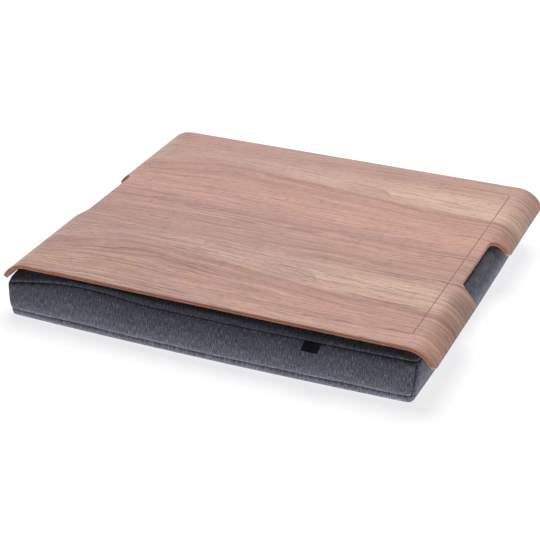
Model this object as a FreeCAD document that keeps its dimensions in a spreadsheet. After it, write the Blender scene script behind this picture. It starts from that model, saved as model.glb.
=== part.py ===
import FreeCAD, Part
import math
import os
import re
import Sketcher

# A lap tray on a bead cushion. A moulded plywood tray with walnut faces, its two sides bent down
# and notched as handles, lies on a flat box cushion with a fabric cover, a zip at the back and a
# bag of beads inside. +X is the user's right, +Y is away from the user, +Z is up, and the origin
# is on the floor under the middle of the tray.

# Driving sizes, in millimetres, and angles, in degrees.
SIZES = {
    # The tray board, over its bent sides.
    "tray_width": 460.0,
    "tray_depth": 385.0,
    "bend_radius": 30.0,
    "bend_angle": 60.0,
    "lip_length": 4.0,
    "front_corner_radius": 5.0,
    "back_corner_radius": 9.0,
    # The plies of the board, from the face inwards.
    "veneer_thickness": 0.6,
    "cross_ply_thickness": 0.95,
    "centre_ply_thickness": 0.9,
    # A handle notch, cut in from the end of each lip.
    "notch_length": 119.0,
    "notch_reach": 20.0,
    "notch_corner_radius": 16.0,
    "notch_mouth_radius": 5.0,
    # The non-slip panel let into the top veneer, and the dark line round it.
    "panel_width": 396.0,
    "panel_depth": 338.0,
    "panel_corner_radius": 4.0,
    "panel_line_width": 1.0,
    "panel_joint": 0.1,
    # The hook tapes under the board and the loop tapes on the cushion.
    "fastener_length": 120.0,
    "fastener_width": 20.0,
    "fastener_spread_x": 250.0,
    "fastener_spread_y": 250.0,
    "hook_thickness": 1.0,
    "loop_thickness": 1.1,
    "hook_and_loop_gap": 0.3,
    # The cushion, at its seams.
    "cushion_width": 435.5,
    "cushion_shift": 3.75,
    "cushion_depth": 380.0,
    "front_reach": 3.5,
    "cushion_height": 53.6,
    "top_seam_height": 46.0,
    "bottom_seam_height": 8.0,
    "cushion_corner_radius": 7.0,
    "right_lean": 3.5,
    "left_spread": 2.0,
    "front_spread": 0.5,
    "front_bulge": 2.0,
    "side_bulge": 3.5,
    "front_bow": 4.0,
    "side_bow": 2.5,
    "foot_inset": 5.0,
    "crown_inset": 13.0,
    "left_crown_inset": 20.0,
    "fabric_thickness": 1.0,
    "seam_thread": 0.8,
    "seam_recess": 0.3,
    # The inner bag of beads.
    "bag_inset": 3.2,
    "bag_clearance": 0.3,
    "bag_thickness": 0.5,
    # The woven tag at the front.
    "tag_width": 16.5,
    "tag_length": 12.2,
    "tag_thickness": 0.45,
    "tag_fold_gap": 0.3,
    "tag_offset": 111.0,
    "tag_clearance": 0.5,
    "tag_tilt": 62.0,
    # The zip along the back wall.
    "zip_length": 390.0,
    "zip_height": 27.0,
    "zip_slot": 12.0,
    "zip_tape_width": 13.0,
    "zip_tape_thickness": 0.5,
    "zip_tape_end": 6.0,
    "zip_gap": 1.0,
    "tooth_pitch": 3.2,
    "tooth_length": 1.5,
    "tooth_root": 1.0,
    "tooth_height": 2.0,
    "stop_length": 3.0,
    "zip_clearance": 0.3,
    "slider_length": 9.0,
    "slider_plate": 1.0,
    "slider_flange": 0.8,
    "slider_corner_radius": 2.0,
    "slider_web": 0.4,
    "slider_web_length": 2.5,
    "bridge_width": 1.6,
    "bridge_post": 1.0,
    "bridge_roof": 0.9,
    "pull_bar": 1.0,
    "pull_arm": 1.1,
    "pull_length": 24.0,
    "pull_width": 7.0,
    "pull_reach": 6.5,
    "pull_end_radius": 2.5,
}

# Places worked out from the driving sizes, as formulas for the document's expressions.
HALF_FLAT = "(tray_width / 2 - bend_radius * sin(bend_angle) - lip_length * cos(bend_angle))"
BOARD = "(2 * veneer_thickness + 2 * cross_ply_thickness + centre_ply_thickness)"
LOOP_TOP = "(cushion_height + loop_thickness)"
BOARD_BOTTOM = "(cushion_height + loop_thickness + hook_and_loop_gap + hook_thickness)"
BOARD_TOP = f"({BOARD_BOTTOM} + {BOARD})"
LIP_END_X = "(tray_width / 2)"
NOTCH_X = "(tray_width / 2 - notch_reach)"
WALL_BOTTOM = "(bottom_seam_height + seam_thread / 2)"
WALL_TOP = "(top_seam_height - seam_thread / 2)"
BELLY_HEIGHT = "((bottom_seam_height + top_seam_height) / 2)"
ZIP_FACE = "(cushion_depth / 2 - fabric_thickness)"
ZIP_BACK = f"({ZIP_FACE} - zip_tape_thickness)"
ZIP_TEETH = f"({ZIP_FACE} + tooth_height)"
SLIDER_INNER = f"({ZIP_TEETH} + zip_clearance)"
SLIDER_OUTER = f"({SLIDER_INNER} + slider_plate)"
PULL_BAR_Y = f"({SLIDER_OUTER} + pull_bar)"
TEETH_REACH = "(zip_gap / 2 + tooth_length + tooth_root)"
SLIDER_REST_X = "(zip_length / 2 - stop_length - slider_length / 2 - zip_clearance)"

# The levels of the cushion's outline, and how far each side draws in there from the top seam. A
# side that swells has a draw-in below zero. The cushion leans to the left, its left side turns over
# sooner to clear the board's bend, and its back is straight, where the zip keeps it taut.
TURN = "(1 - sqrt(0.5))"
LEVELS = {
    "foot": {
        "front": "(foot_inset - front_spread)",
        "back": "foot_inset",
        "right": "(foot_inset + right_lean)",
        "left": "(foot_inset - left_spread)",
    },
    "turn": {
        "front": f"(foot_inset * {TURN} - front_spread)",
        "back": f"(foot_inset * {TURN})",
        "right": f"(foot_inset * {TURN} + right_lean)",
        "left": f"(foot_inset * {TURN} - left_spread)",
    },
    "bottom_seam": {
        "front": "(0 - front_spread)",
        "back": "0",
        "right": "right_lean",
        "left": "(0 - left_spread)",
    },
    "belly": {
        "front": "(0 - front_spread / 2 - front_bulge)",
        "back": "0",
        "right": "(right_lean / 2 - side_bulge)",
        "left": "(0 - left_spread / 2 - side_bulge)",
    },
    "top_seam": {"front": "0", "back": "0", "right": "0", "left": "0"},
    "shoulder": {
        "front": f"(crown_inset * {TURN})",
        "back": f"(crown_inset * {TURN})",
        "right": f"(crown_inset * {TURN})",
        "left": f"(left_crown_inset * {TURN})",
    },
    "crown": {
        "front": "crown_inset",
        "back": "crown_inset",
        "right": "crown_inset",
        "left": "left_crown_inset",
    },
}

# Where the corner arcs are centred at the top seam, and the sign of each way out from the middle.
CORNERS = {
    "right": "(cushion_width / 2 - cushion_shift - cushion_corner_radius)",
    "left": "(0 - cushion_width / 2 - cushion_shift + cushion_corner_radius)",
    "front": "(0 - cushion_depth / 2 - front_reach + cushion_corner_radius)",
    "back": "(cushion_depth / 2 - cushion_corner_radius)",
}
OUTWARD = {"right": "+", "left": "-", "front": "-", "back": "+"}
INWARD = {"right": "-", "left": "+", "front": "+", "back": "-"}

document = FreeCAD.newDocument("LapTray")


def formula(text):
    """Names the sheet before each size that a formula uses."""
    return re.sub(r"[a-z_]+", lambda word: f"Sizes.{word[0]}" if word[0] in SIZES else word[0], text)


def make_sheet():
    """Fills the spreadsheet with the driving sizes."""
    sheet = document.addObject("Spreadsheet::Sheet", "Sizes")
    for row, (name, size) in enumerate(SIZES.items(), start=1):
        sheet.set(f"A{row}", name)
        sheet.set(f"B{row}", str(size))
        sheet.setAlias(f"B{row}", name)
    document.recompute()
    return sheet


def number(text):
    """The value of a formula at the present sizes."""
    return float(sizes_sheet.evalExpression(formula(text)))


def bind(thing, prop, text):
    """Binds a property to a formula, and gives it the value at once."""
    thing.setExpression(prop, formula(text))


def new_body(name):
    """An empty body with a label."""
    body = document.addObject("PartDesign::Body", name)
    body.Label = name
    return body


def new_sketch(body, name, role, offset="0"):
    """A sketch on one of the body's own origin planes, moved along that plane's normal."""
    sketch = body.newObject("Sketcher::SketchObject", f"{body.Name}_{name}")
    plane = [face for face in body.Origin.OriginFeatures if face.Role == role][0]
    sketch.AttachmentSupport = [(plane, "")]
    sketch.MapMode = "FlatFace"
    bind(sketch, "AttachmentOffset.Base.z", offset)
    return sketch


def arc_through(start, end, radius, turn):
    """An arc under a half circle between two points. Turn is 1 for anticlockwise, -1 for clockwise."""
    chord = end - start
    middle = (start + end) / 2
    height = math.sqrt(max(radius**2 - (chord.Length / 2) ** 2, 0))
    side = FreeCAD.Vector(-chord.y, chord.x, 0).normalize() * turn
    centre = middle + side * height
    first, last = (start, end) if turn > 0 else (end, start)
    angles = [math.atan2(point.y - centre.y, point.x - centre.x) for point in (first, last)]
    circle = Part.Circle(centre, FreeCAD.Vector(0, 0, 1), radius)
    return Part.ArcOfCircle(circle, *angles)


def draw_loop(sketch, corners):
    """Draws a closed loop. Each corner is (x, y) and, where an arc leaves it, (radius, turn).

    Every corner is pinned to the sketch's origin by its own formulas.
    """
    places = [FreeCAD.Vector(number(corner[0]), number(corner[1]), 0) for corner in corners]
    edges = []
    for index, corner in enumerate(corners):
        start = places[index]
        end = places[(index + 1) % len(places)]
        if len(corner) == 2:
            edges.append((sketch.addGeometry(Part.LineSegment(start, end)), 1, 2))
            continue
        radius, turn = corner[2:]
        edge = sketch.addGeometry(arc_through(start, end, number(radius), turn))
        edges.append((edge, 1, 2) if turn > 0 else (edge, 2, 1))
        rule = sketch.addConstraint(Sketcher.Constraint("Radius", edge, number(radius)))
        bind(sketch, f"Constraints[{rule}]", radius)
    for index, (edge, first, last) in enumerate(edges):
        following, start_point, _ = edges[(index + 1) % len(edges)]
        sketch.addConstraint(Sketcher.Constraint("Coincident", edge, last, following, start_point))
        for kind, text, place in zip(
            ("DistanceX", "DistanceY"), corners[index][:2], (places[index].x, places[index].y)
        ):
            rule = sketch.addConstraint(Sketcher.Constraint(kind, -1, 1, edge, first, place))
            bind(sketch, f"Constraints[{rule}]", text)


def rounded_rectangle(low_x, high_x, low_y, high_y, radius):
    """The corners of a rectangle with rounded corners, anticlockwise."""
    return [
        (f"{low_x} + {radius}", low_y),
        (f"{high_x} - {radius}", low_y, radius, 1),
        (high_x, f"{low_y} + {radius}"),
        (high_x, f"{high_y} - {radius}", radius, 1),
        (f"{high_x} - {radius}", high_y),
        (f"{low_x} + {radius}", high_y, radius, 1),
        (low_x, f"{high_y} - {radius}"),
        (low_x, f"{low_y} + {radius}", radius, 1),
    ]


def rectangle(low_x, high_x, low_y, high_y):
    """The corners of a plain rectangle, anticlockwise."""
    return [(low_x, low_y), (high_x, low_y), (high_x, high_y), (low_x, high_y)]


def pad(body, sketch, length, midplane=False, reverse=False):
    """Pads a sketch by a length that a formula gives."""
    feature = body.newObject("PartDesign::Pad", f"{sketch.Name}_Pad")
    feature.Profile = sketch
    feature.Midplane = midplane
    feature.Reversed = reverse
    bind(feature, "Length", length)
    body.Tip = feature
    return feature


def cut_away(body, sketch):
    """Pockets a sketch through the whole body, both ways, and checks that it cuts."""
    document.recompute()
    before = body.Shape.Volume
    feature = body.newObject("PartDesign::Pocket", f"{sketch.Name}_Pocket")
    feature.Profile = sketch
    feature.Type = "ThroughAll"
    feature.Midplane = True
    body.Tip = feature
    document.recompute()
    if body.Shape.Volume >= before:
        raise ValueError(f"{feature.Name} cuts nothing")
    return feature


# The tray board


def board_profile(upper, lower):
    """The board's cross section between two depths below its top face, seen from the front."""
    z_top = BOARD_TOP
    outer = f"(bend_radius - {upper})"
    inner = f"(bend_radius - {lower})"
    bend_z = f"({z_top} - bend_radius)"

    def bend_end(radius):
        x = f"({HALF_FLAT} + {radius} * sin(bend_angle))"
        return x, f"({bend_z} + {radius} * cos(bend_angle))"

    def lip_end(radius):
        x, z = bend_end(radius)
        return f"({x} + lip_length * cos(bend_angle))", f"({z} - lip_length * sin(bend_angle))"

    outer_bend, outer_lip = bend_end(outer), lip_end(outer)
    inner_bend, inner_lip = bend_end(inner), lip_end(inner)
    top, bottom = f"{z_top} - {upper}", f"{z_top} - {lower}"
    return [
        (f"-{HALF_FLAT}", top),
        (HALF_FLAT, top, outer, -1),
        outer_bend,
        outer_lip,
        inner_lip,
        (*inner_bend, inner, 1),
        (HALF_FLAT, bottom),
        (f"-{HALF_FLAT}", bottom, inner, 1),
        (f"-{inner_bend[0]}", inner_bend[1]),
        (f"-{inner_lip[0]}", inner_lip[1]),
        (f"-{outer_lip[0]}", outer_lip[1]),
        (f"-{outer_bend[0]}", outer_bend[1], outer, -1),
    ]


def notch_outline(side):
    """A handle notch in plan, on the right where side is 1 and on the left where it is -1."""
    sign = "" if side > 0 else "-"
    half = "notch_length / 2"
    shoulder = f"{sign}({NOTCH_X} + notch_corner_radius)"
    mouth = f"{sign}({LIP_END_X} + notch_reach)"
    return [
        (mouth, f"-{half}"),
        (shoulder, f"-{half}", "notch_corner_radius", -side),
        (f"{sign}{NOTCH_X}", f"-{half} + notch_corner_radius"),
        (f"{sign}{NOTCH_X}", f"{half} - notch_corner_radius", "notch_corner_radius", -side),
        (shoulder, half),
        (mouth, half),
    ]


def corner_offcut(y, radius, turn):
    """The waste outside a rounded corner of a lip, in the lip's own plane.

    The plane's x runs down the lip from its end, and its y runs along the tray. Turn is 1 where
    the wood lies on the corner's -y side, and -1 where it lies on the +y side.
    """
    sign = "-" if turn > 0 else "+"
    away = "+" if turn > 0 else "-"
    return [
        (f"-{radius}", y, radius, -turn),
        ("0", f"{y} {sign} {radius}"),
        (radius, f"{y} {sign} {radius}"),
        (radius, f"{y} {away} {radius}"),
        (f"-{radius}", f"{y} {away} {radius}"),
    ]


def round_lip_corners(body):
    """Rounds the free corners of the right lip, square to the lip, and mirrors them to the left."""
    sketch = new_sketch(body, "lip_corners", "XY_Plane")
    sketch.AttachmentOffset = FreeCAD.Placement(
        FreeCAD.Vector(), FreeCAD.Rotation(FreeCAD.Vector(0, 1, 0), number("bend_angle"))
    )
    bind(sketch, "AttachmentOffset.Rotation.Angle", "bend_angle")
    bind(sketch, "AttachmentOffset.Base.x", LIP_END_X)
    drop = "(bend_radius * (1 - cos(bend_angle)) + lip_length * sin(bend_angle))"
    bind(sketch, "AttachmentOffset.Base.z", f"{BOARD_TOP} - {drop}")
    draw_loop(sketch, corner_offcut("tray_depth / 2", "back_corner_radius", 1))
    draw_loop(sketch, corner_offcut("-tray_depth / 2", "front_corner_radius", -1))
    draw_loop(sketch, corner_offcut("-notch_length / 2", "notch_mouth_radius", 1))
    draw_loop(sketch, corner_offcut("notch_length / 2", "notch_mouth_radius", -1))
    feature = body.newObject("PartDesign::Pocket", f"{sketch.Name}_Pocket")
    feature.Profile = sketch
    feature.Midplane = True
    bind(feature, "Length", f"4 * {BOARD}")
    body.Tip = feature
    document.recompute()
    mirror = body.newObject("PartDesign::Mirrored", f"{sketch.Name}_Mirrored")
    mirror.Originals = [feature]
    plane = [face for face in body.Origin.OriginFeatures if face.Role == "YZ_Plane"][0]
    mirror.MirrorPlane = (plane, [""])
    body.Tip = mirror


def make_ply(name, upper, lower):
    """One layer of the board, bent and notched like the rest."""
    body = new_body(name)
    profile = new_sketch(body, "profile", "XZ_Plane")
    draw_loop(profile, board_profile(upper, lower))
    pad(body, profile, "tray_depth", midplane=True)
    notches = new_sketch(body, "notches", "XY_Plane")
    for side in (1, -1):
        draw_loop(notches, notch_outline(side))
    cut_away(body, notches)
    round_lip_corners(body)
    return body


def panel_window(grow):
    """The outline of the non-slip panel, grown by a formula on every side."""
    half_width = f"(panel_width / 2 + {grow})"
    half_depth = f"(panel_depth / 2 + {grow})"
    radius = f"(panel_corner_radius + {grow})"
    return rounded_rectangle(f"-{half_width}", half_width, f"-{half_depth}", half_depth, radius)


def make_board():
    """The plies, with a window in the top one, and what fills the window."""
    depths = [
        ("top_veneer", "veneer_thickness"),
        ("core_ply_upper", "cross_ply_thickness"),
        ("core_ply_middle", "centre_ply_thickness"),
        ("core_ply_lower", "cross_ply_thickness"),
        ("bottom_veneer", "veneer_thickness"),
    ]
    upper = "0"
    plies = []
    for name, thickness in depths:
        lower = f"({upper} + {thickness})"
        plies.append(make_ply(name, upper, lower))
        upper = lower
    window = new_sketch(plies[0], "window", "XY_Plane")
    draw_loop(window, panel_window("panel_line_width + 2 * panel_joint"))
    cut_away(plies[0], window)

    line = new_body("panel_border")
    outline = new_sketch(line, "outline", "XY_Plane", f"{BOARD_TOP} - veneer_thickness")
    draw_loop(outline, panel_window("panel_line_width + panel_joint"))
    draw_loop(outline, panel_window("panel_joint"))
    pad(line, outline, "veneer_thickness")

    panel = new_body("antislip_panel")
    outline = new_sketch(panel, "outline", "XY_Plane", f"{BOARD_TOP} - veneer_thickness")
    draw_loop(outline, panel_window("0"))
    pad(panel, outline, "veneer_thickness")
    return [*plies, line, panel]


def make_strips(name, bottom, thickness):
    """Four strips of fastening tape, one in each quarter of the tray."""
    strips = []
    for column in (-1, 1):
        for row in (-1, 1):
            strip = document.addObject("Part::Box", f"{name}_strip")
            bind(strip, "Length", "fastener_length")
            bind(strip, "Width", "fastener_width")
            bind(strip, "Height", thickness)
            middle_x = f"{column} * fastener_spread_x / 2"
            middle_y = f"{row} * fastener_spread_y / 2"
            bind(strip, "Placement.Base.x", f"{middle_x} - fastener_length / 2")
            bind(strip, "Placement.Base.y", f"{middle_y} - fastener_width / 2")
            bind(strip, "Placement.Base.z", bottom)
            strips.append(strip)
    group = document.addObject("Part::Compound", name)
    group.Label = name
    group.Links = strips
    return group


# The cushion's cover


def cushion_outline(level, inset):
    """The cushion's outline at a level, drawn in further by an inset, anticlockwise from the front.

    The front and the right side are bowed by the beads, and the back and the left are straight.
    """
    draw_in = LEVELS[level]
    right = f"(cushion_width / 2 - cushion_shift - {draw_in['right']} - {inset})"
    left = f"(cushion_width / 2 + cushion_shift - {draw_in['left']} - {inset})"
    front = f"(cushion_depth / 2 + front_reach - {draw_in['front']} - {inset})"
    back = f"(cushion_depth / 2 - {draw_in['back']} - {inset})"
    radius = "cushion_corner_radius"
    front_chord = f"(({right} + {left}) / 2 - {radius})"
    side_chord = f"(({front} + {back}) / 2 - {radius})"
    front_radius = f"(({front_chord}^2 + front_bow^2) / (2 * front_bow))"
    side_radius = f"(({side_chord}^2 + side_bow^2) / (2 * side_bow))"
    return [
        (f"-{left} + {radius}", f"-{front}", front_radius, 1),
        (f"{right} - {radius}", f"-{front}", radius, 1),
        (right, f"-{front} + {radius}", side_radius, 1),
        (right, f"{back} - {radius}", radius, 1),
        (f"{right} - {radius}", back),
        (f"-{left} + {radius}", back, radius, 1),
        (f"-{left}", f"{back} - {radius}"),
        (f"-{left}", f"-{front} + {radius}", radius, 1),
    ]


def loft(body, name, sections, kind, ruled=False):
    """Lofts through outlines at several heights. Kind is Additive or Subtractive."""
    sketches = []
    for index, (level, inset, height) in enumerate(sections):
        sketch = new_sketch(body, f"{name}_{index}_{level}", "XY_Plane", height)
        draw_loop(sketch, cushion_outline(level, inset))
        sketches.append(sketch)
    document.recompute()
    feature = body.newObject(f"PartDesign::{kind}Loft", f"{body.Name}_{name}")
    feature.Profile = sketches[0]
    feature.Sections = sketches[1:]
    feature.Ruled = ruled
    body.Tip = feature
    document.recompute()
    return feature


def top_sections(inset, drop):
    """The outlines of the top panel, from the seam to the crown."""
    seam = "(top_seam_height + seam_thread / 2)"
    rise = f"(cushion_height - {drop} - {seam})"
    return [
        ("top_seam", inset, seam),
        ("shoulder", inset, f"{seam} + {rise} * sqrt(0.5)"),
        ("crown", inset, f"{seam} + {rise}"),
    ]


def bottom_sections(inset, lift):
    """The outlines of the bottom panel, from the foot to the seam."""
    seam = "(bottom_seam_height - seam_thread / 2)"
    rise = f"({seam} - {lift})"
    return [
        ("foot", inset, lift),
        ("turn", inset, f"{lift} + {rise} * (1 - sqrt(0.5))"),
        ("bottom_seam", inset, seam),
    ]


def wall_sections(inset):
    """The outlines of the side walls, from seam to seam."""
    return [
        ("bottom_seam", inset, WALL_BOTTOM),
        ("belly", inset, BELLY_HEIGHT),
        ("top_seam", inset, WALL_TOP),
    ]


def shell(name, outer, inner, ruled=False):
    """A thin shell between two lofts."""
    body = new_body(name)
    loft(body, "outside", outer, "Additive", ruled)
    loft(body, "inside", inner, "Subtractive", ruled)
    return body


def make_prism(name, corners, low, high):
    """An upright prism on a plan outline, as a tool for parting the walls."""
    body = new_body(name)
    sketch = new_sketch(body, "plan", "XY_Plane", low)
    draw_loop(sketch, corners)
    pad(body, sketch, f"({high}) - ({low})")
    return body


def common(name, first, second):
    """What two solids share, as a sub-part."""
    part = document.addObject("Part::Common", name)
    part.Label = name
    part.Base = first
    part.Tool = second
    return part


# The walls part along upright planes through the corners' arcs, at 45 degrees in plan.
SEAM_SHIFT = "(seam_thread * sqrt(0.5))"
BEYOND = "(cushion_depth / 8)"
WALL_ENDS = {
    "front": ("left", "right"),
    "right": ("front", "back"),
    "back": ("right", "left"),
    "left": ("back", "front"),
}


def wall_plan(facing):
    """The plan of the wedge that holds one wall, anticlockwise from its outer edge."""

    def corner(end, way):
        """A corner of the wedge, out or in along the diagonal at one end of the wall."""
        along = f"{CORNERS[end]} {way[end]} {BEYOND} {INWARD[end]} {SEAM_SHIFT}"
        across = f"{CORNERS[facing]} {way[facing]} {BEYOND}"
        return (along, across) if facing in ("front", "back") else (across, along)

    first, last = WALL_ENDS[facing]
    return [
        corner(first, OUTWARD),
        corner(last, OUTWARD),
        corner(last, INWARD),
        corner(first, INWARD),
    ]


def make_walls():
    """The four walls of the cover, the back one in two strips that part round the zip."""
    ring = shell("wall_ring", wall_sections("0"), wall_sections("fabric_thickness"))
    walls = []
    for facing in ("front", "right", "left"):
        wedge = make_prism(f"{facing}_wedge", wall_plan(facing), WALL_BOTTOM, WALL_TOP)
        walls.append(common(f"cover_{facing}_wall", ring, wedge))
    slot = document.addObject("Part::Box", "zip_slot")
    bind(slot, "Length", "zip_length")
    bind(slot, "Width", "2 * zip_slot")
    bind(slot, "Height", "zip_slot")
    bind(slot, "Placement.Base.x", "-zip_length / 2")
    bind(slot, "Placement.Base.y", "cushion_depth / 2 - zip_slot")
    bind(slot, "Placement.Base.z", "zip_height - zip_slot / 2")
    for half, low, high in (("upper", "zip_height", WALL_TOP), ("lower", WALL_BOTTOM, "zip_height")):
        wedge = make_prism(f"back_wedge_{half}", wall_plan("back"), low, high)
        strip = document.addObject("Part::Cut", f"cover_back_wall_{half}")
        strip.Label = strip.Name
        strip.Base = common(f"back_strip_{half}", ring, wedge)
        strip.Tool = slot
        walls.append(strip)
    return walls


def make_corner_threads():
    """The thread of the four upright corner seams, set in a little from the face."""
    ring = shell("corner_ring", wall_sections("seam_recess"), wall_sections("fabric_thickness"))
    slabs = []
    for side in ("left", "right"):
        for end in ("front", "back"):
            slab = document.addObject("Part::Box", "corner_slab")
            bind(slab, "Length", BEYOND)
            bind(slab, "Width", "seam_thread")
            bind(slab, "Height", f"{WALL_TOP} - {WALL_BOTTOM}")
            angle = math.degrees(math.atan2(float(OUTWARD[end] + "1"), float(OUTWARD[side] + "1")))
            slab.Placement = FreeCAD.Placement(
                FreeCAD.Vector(), FreeCAD.Rotation(FreeCAD.Vector(0, 0, 1), angle)
            )
            back_x = f"seam_thread / 2 * sin({angle})"
            back_y = f"seam_thread / 2 * cos({angle})"
            bind(slab, "Placement.Base.x", f"{CORNERS[side]} + {back_x}")
            bind(slab, "Placement.Base.y", f"{CORNERS[end]} - {back_y}")
            bind(slab, "Placement.Base.z", WALL_BOTTOM)
            slabs.append(slab)
    group = document.addObject("Part::Compound", "corner_slabs")
    group.Links = slabs
    return common("corner_seam_threads", ring, group)


def make_seam_ring(name, level, height):
    """The thread of a level seam, a thin ring between a wall and a panel."""
    body = new_body(name)
    sketch = new_sketch(body, "ring", "XY_Plane", f"{height} - seam_thread / 2")
    draw_loop(sketch, cushion_outline(level, "seam_recess"))
    draw_loop(sketch, cushion_outline(level, "fabric_thickness"))
    pad(body, sketch, "seam_thread")
    return body


def make_cover():
    """The fabric cover: its panels, its walls and its seams."""
    top = shell(
        "cover_top_panel",
        top_sections("0", "0"),
        top_sections("fabric_thickness", "fabric_thickness"),
    )
    bottom = shell(
        "cover_bottom_panel",
        bottom_sections("0", "0"),
        bottom_sections("fabric_thickness", "fabric_thickness"),
    )
    threads = [
        make_seam_ring("top_seam_thread", "top_seam", "top_seam_height"),
        make_seam_ring("bottom_seam_thread", "bottom_seam", "bottom_seam_height"),
        make_corner_threads(),
    ]
    return [top, bottom, *make_walls(), *threads]


# The bag of beads


def bag_sections(inset, clearance, half):
    """The outlines of the inner bag's lower or upper half."""
    draw_in = f"(bag_inset + {inset})"
    lift = f"(fabric_thickness + {clearance})"
    if half == "bottom":
        return [
            ("foot", draw_in, lift),
            ("bottom_seam", draw_in, f"bottom_seam_height + {clearance}"),
            ("belly", draw_in, BELLY_HEIGHT),
        ]
    return [
        ("belly", draw_in, BELLY_HEIGHT),
        ("top_seam", draw_in, f"top_seam_height - {clearance}"),
        ("crown", draw_in, f"cushion_height - {lift}"),
    ]


def make_bag():
    """The inner bag in two halves, and its filling of beads as one body."""
    outer = ("0", "bag_clearance")
    inner = ("bag_thickness", "(bag_clearance + bag_thickness)")
    halves = [
        shell(f"liner_bag_{half}", bag_sections(*outer, half), bag_sections(*inner, half), ruled=True)
        for half in ("bottom", "top")
    ]
    beads = new_body("bead_filling")
    filling = ("(bag_thickness + bag_clearance)", "(2 * bag_clearance + bag_thickness)")
    for half in ("bottom", "top"):
        loft(beads, half, bag_sections(*filling, half), "Additive", ruled=True)
    return [*halves, beads]


# The tag


def make_tag():
    """A stiff folded tag that comes out of the front top seam and stands out from the wall."""
    tag = new_body("woven_tag")
    profile = new_sketch(tag, "profile", "YZ_Plane")
    half_gap = "tag_fold_gap / 2"
    outer = "(tag_fold_gap / 2 + tag_thickness)"
    fold = f"-tag_length + {outer}"
    draw_loop(
        profile,
        [
            (half_gap, "0"),
            (half_gap, fold, half_gap, -1),
            ("0", f"{fold} - {half_gap}", half_gap, -1),
            (f"-{half_gap}", fold),
            (f"-{half_gap}", "0"),
            (f"-{outer}", "0"),
            (f"-{outer}", fold, outer, 1),
            ("0", f"{fold} - {outer}", outer, 1),
            (outer, fold),
            (outer, "0"),
        ],
    )
    pad(tag, profile, "tag_width", midplane=True)
    chord = "(cushion_width / 2 - cushion_corner_radius)"
    bow_radius = f"(({chord}^2 + front_bow^2) / (2 * front_bow))"
    bow_here = f"(front_bow - {bow_radius} + sqrt({bow_radius}^2 - (tag_offset + cushion_shift)^2))"
    tag.Placement = FreeCAD.Placement(
        FreeCAD.Vector(), FreeCAD.Rotation(FreeCAD.Vector(1, 0, 0), -number("tag_tilt"))
    )
    bind(tag, "Placement.Base.x", "tag_offset")
    front = f"(cushion_depth / 2 + front_reach + {bow_here})"
    bind(tag, "Placement.Base.y", f"-({front} + tag_clearance + {outer})")
    bind(tag, "Placement.Base.z", WALL_TOP)
    bind(tag, "Placement.Rotation.Angle", "-tag_tilt")
    return tag


# The zip


def make_zip_tape(name, side):
    """A tape behind the edge of the back wall. Side is 1 above the zip and -1 below it."""
    tape = document.addObject("Part::Box", name)
    tape.Label = name
    bind(tape, "Length", "zip_length + 2 * zip_tape_end")
    bind(tape, "Width", "zip_tape_thickness")
    bind(tape, "Height", "zip_tape_width")
    bind(tape, "Placement.Base.x", "-zip_length / 2 - zip_tape_end")
    bind(tape, "Placement.Base.y", ZIP_BACK)
    low = "zip_height + zip_gap / 2" if side > 0 else "zip_height - zip_gap / 2 - zip_tape_width"
    bind(tape, "Placement.Base.z", low)
    return tape


def make_zip_teeth(name, side):
    """One row of teeth with the bead that joins them, on the outer face of its tape.

    The two rows are set half a pitch apart, and stay a zip gap apart so that the slider passes.
    """
    gap, pitch = number("zip_gap / 2"), number("tooth_pitch")
    reach = gap + number("tooth_length")
    root = reach + number("tooth_root")
    half = number("zip_length / 2 - stop_length")
    count = int((2 * half - pitch) // pitch)
    start = -count * pitch / 2 + (pitch / 4 if side > 0 else -pitch / 4)
    points = [(-half, root), (-half, reach)]
    for index in range(count):
        left = start + index * pitch
        right = left + pitch / 2
        points += [(left, reach), (left, gap), (right, gap), (right, reach)]
    points += [(half, reach), (half, root), (-half, root)]
    face_y, height = number(ZIP_FACE), number("zip_height")
    corners = [FreeCAD.Vector(x, face_y, height + side * z) for x, z in points]
    row = document.addObject("Part::Feature", name)
    row.Label = name
    face = Part.Face(Part.makePolygon(corners))
    row.Shape = face.extrude(FreeCAD.Vector(0, number("tooth_height"), 0))
    return row


def make_zip_stops():
    """The stops at both ends of the teeth."""
    stops = []
    for side in (-1, 1):
        stop = document.addObject("Part::Box", "zip_stop")
        bind(stop, "Length", "stop_length")
        bind(stop, "Width", "tooth_height")
        bind(stop, "Height", f"2 * {TEETH_REACH}")
        edge = "zip_length / 2 - stop_length" if side > 0 else "-zip_length / 2"
        bind(stop, "Placement.Base.x", edge)
        bind(stop, "Placement.Base.y", ZIP_FACE)
        bind(stop, "Placement.Base.z", f"zip_height - {TEETH_REACH}")
        stops.append(stop)
    group = document.addObject("Part::Compound", "zip_end_stops")
    group.Label = "zip_end_stops"
    group.Links = stops
    return group


def add_pad(body, name, role, offset, loops, length, midplane=False):
    """Draws loops on a plane of the body and pads them."""
    sketch = new_sketch(body, name, role, offset)
    for loop in loops:
        draw_loop(sketch, loop)
    return pad(body, sketch, length, midplane)


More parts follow.
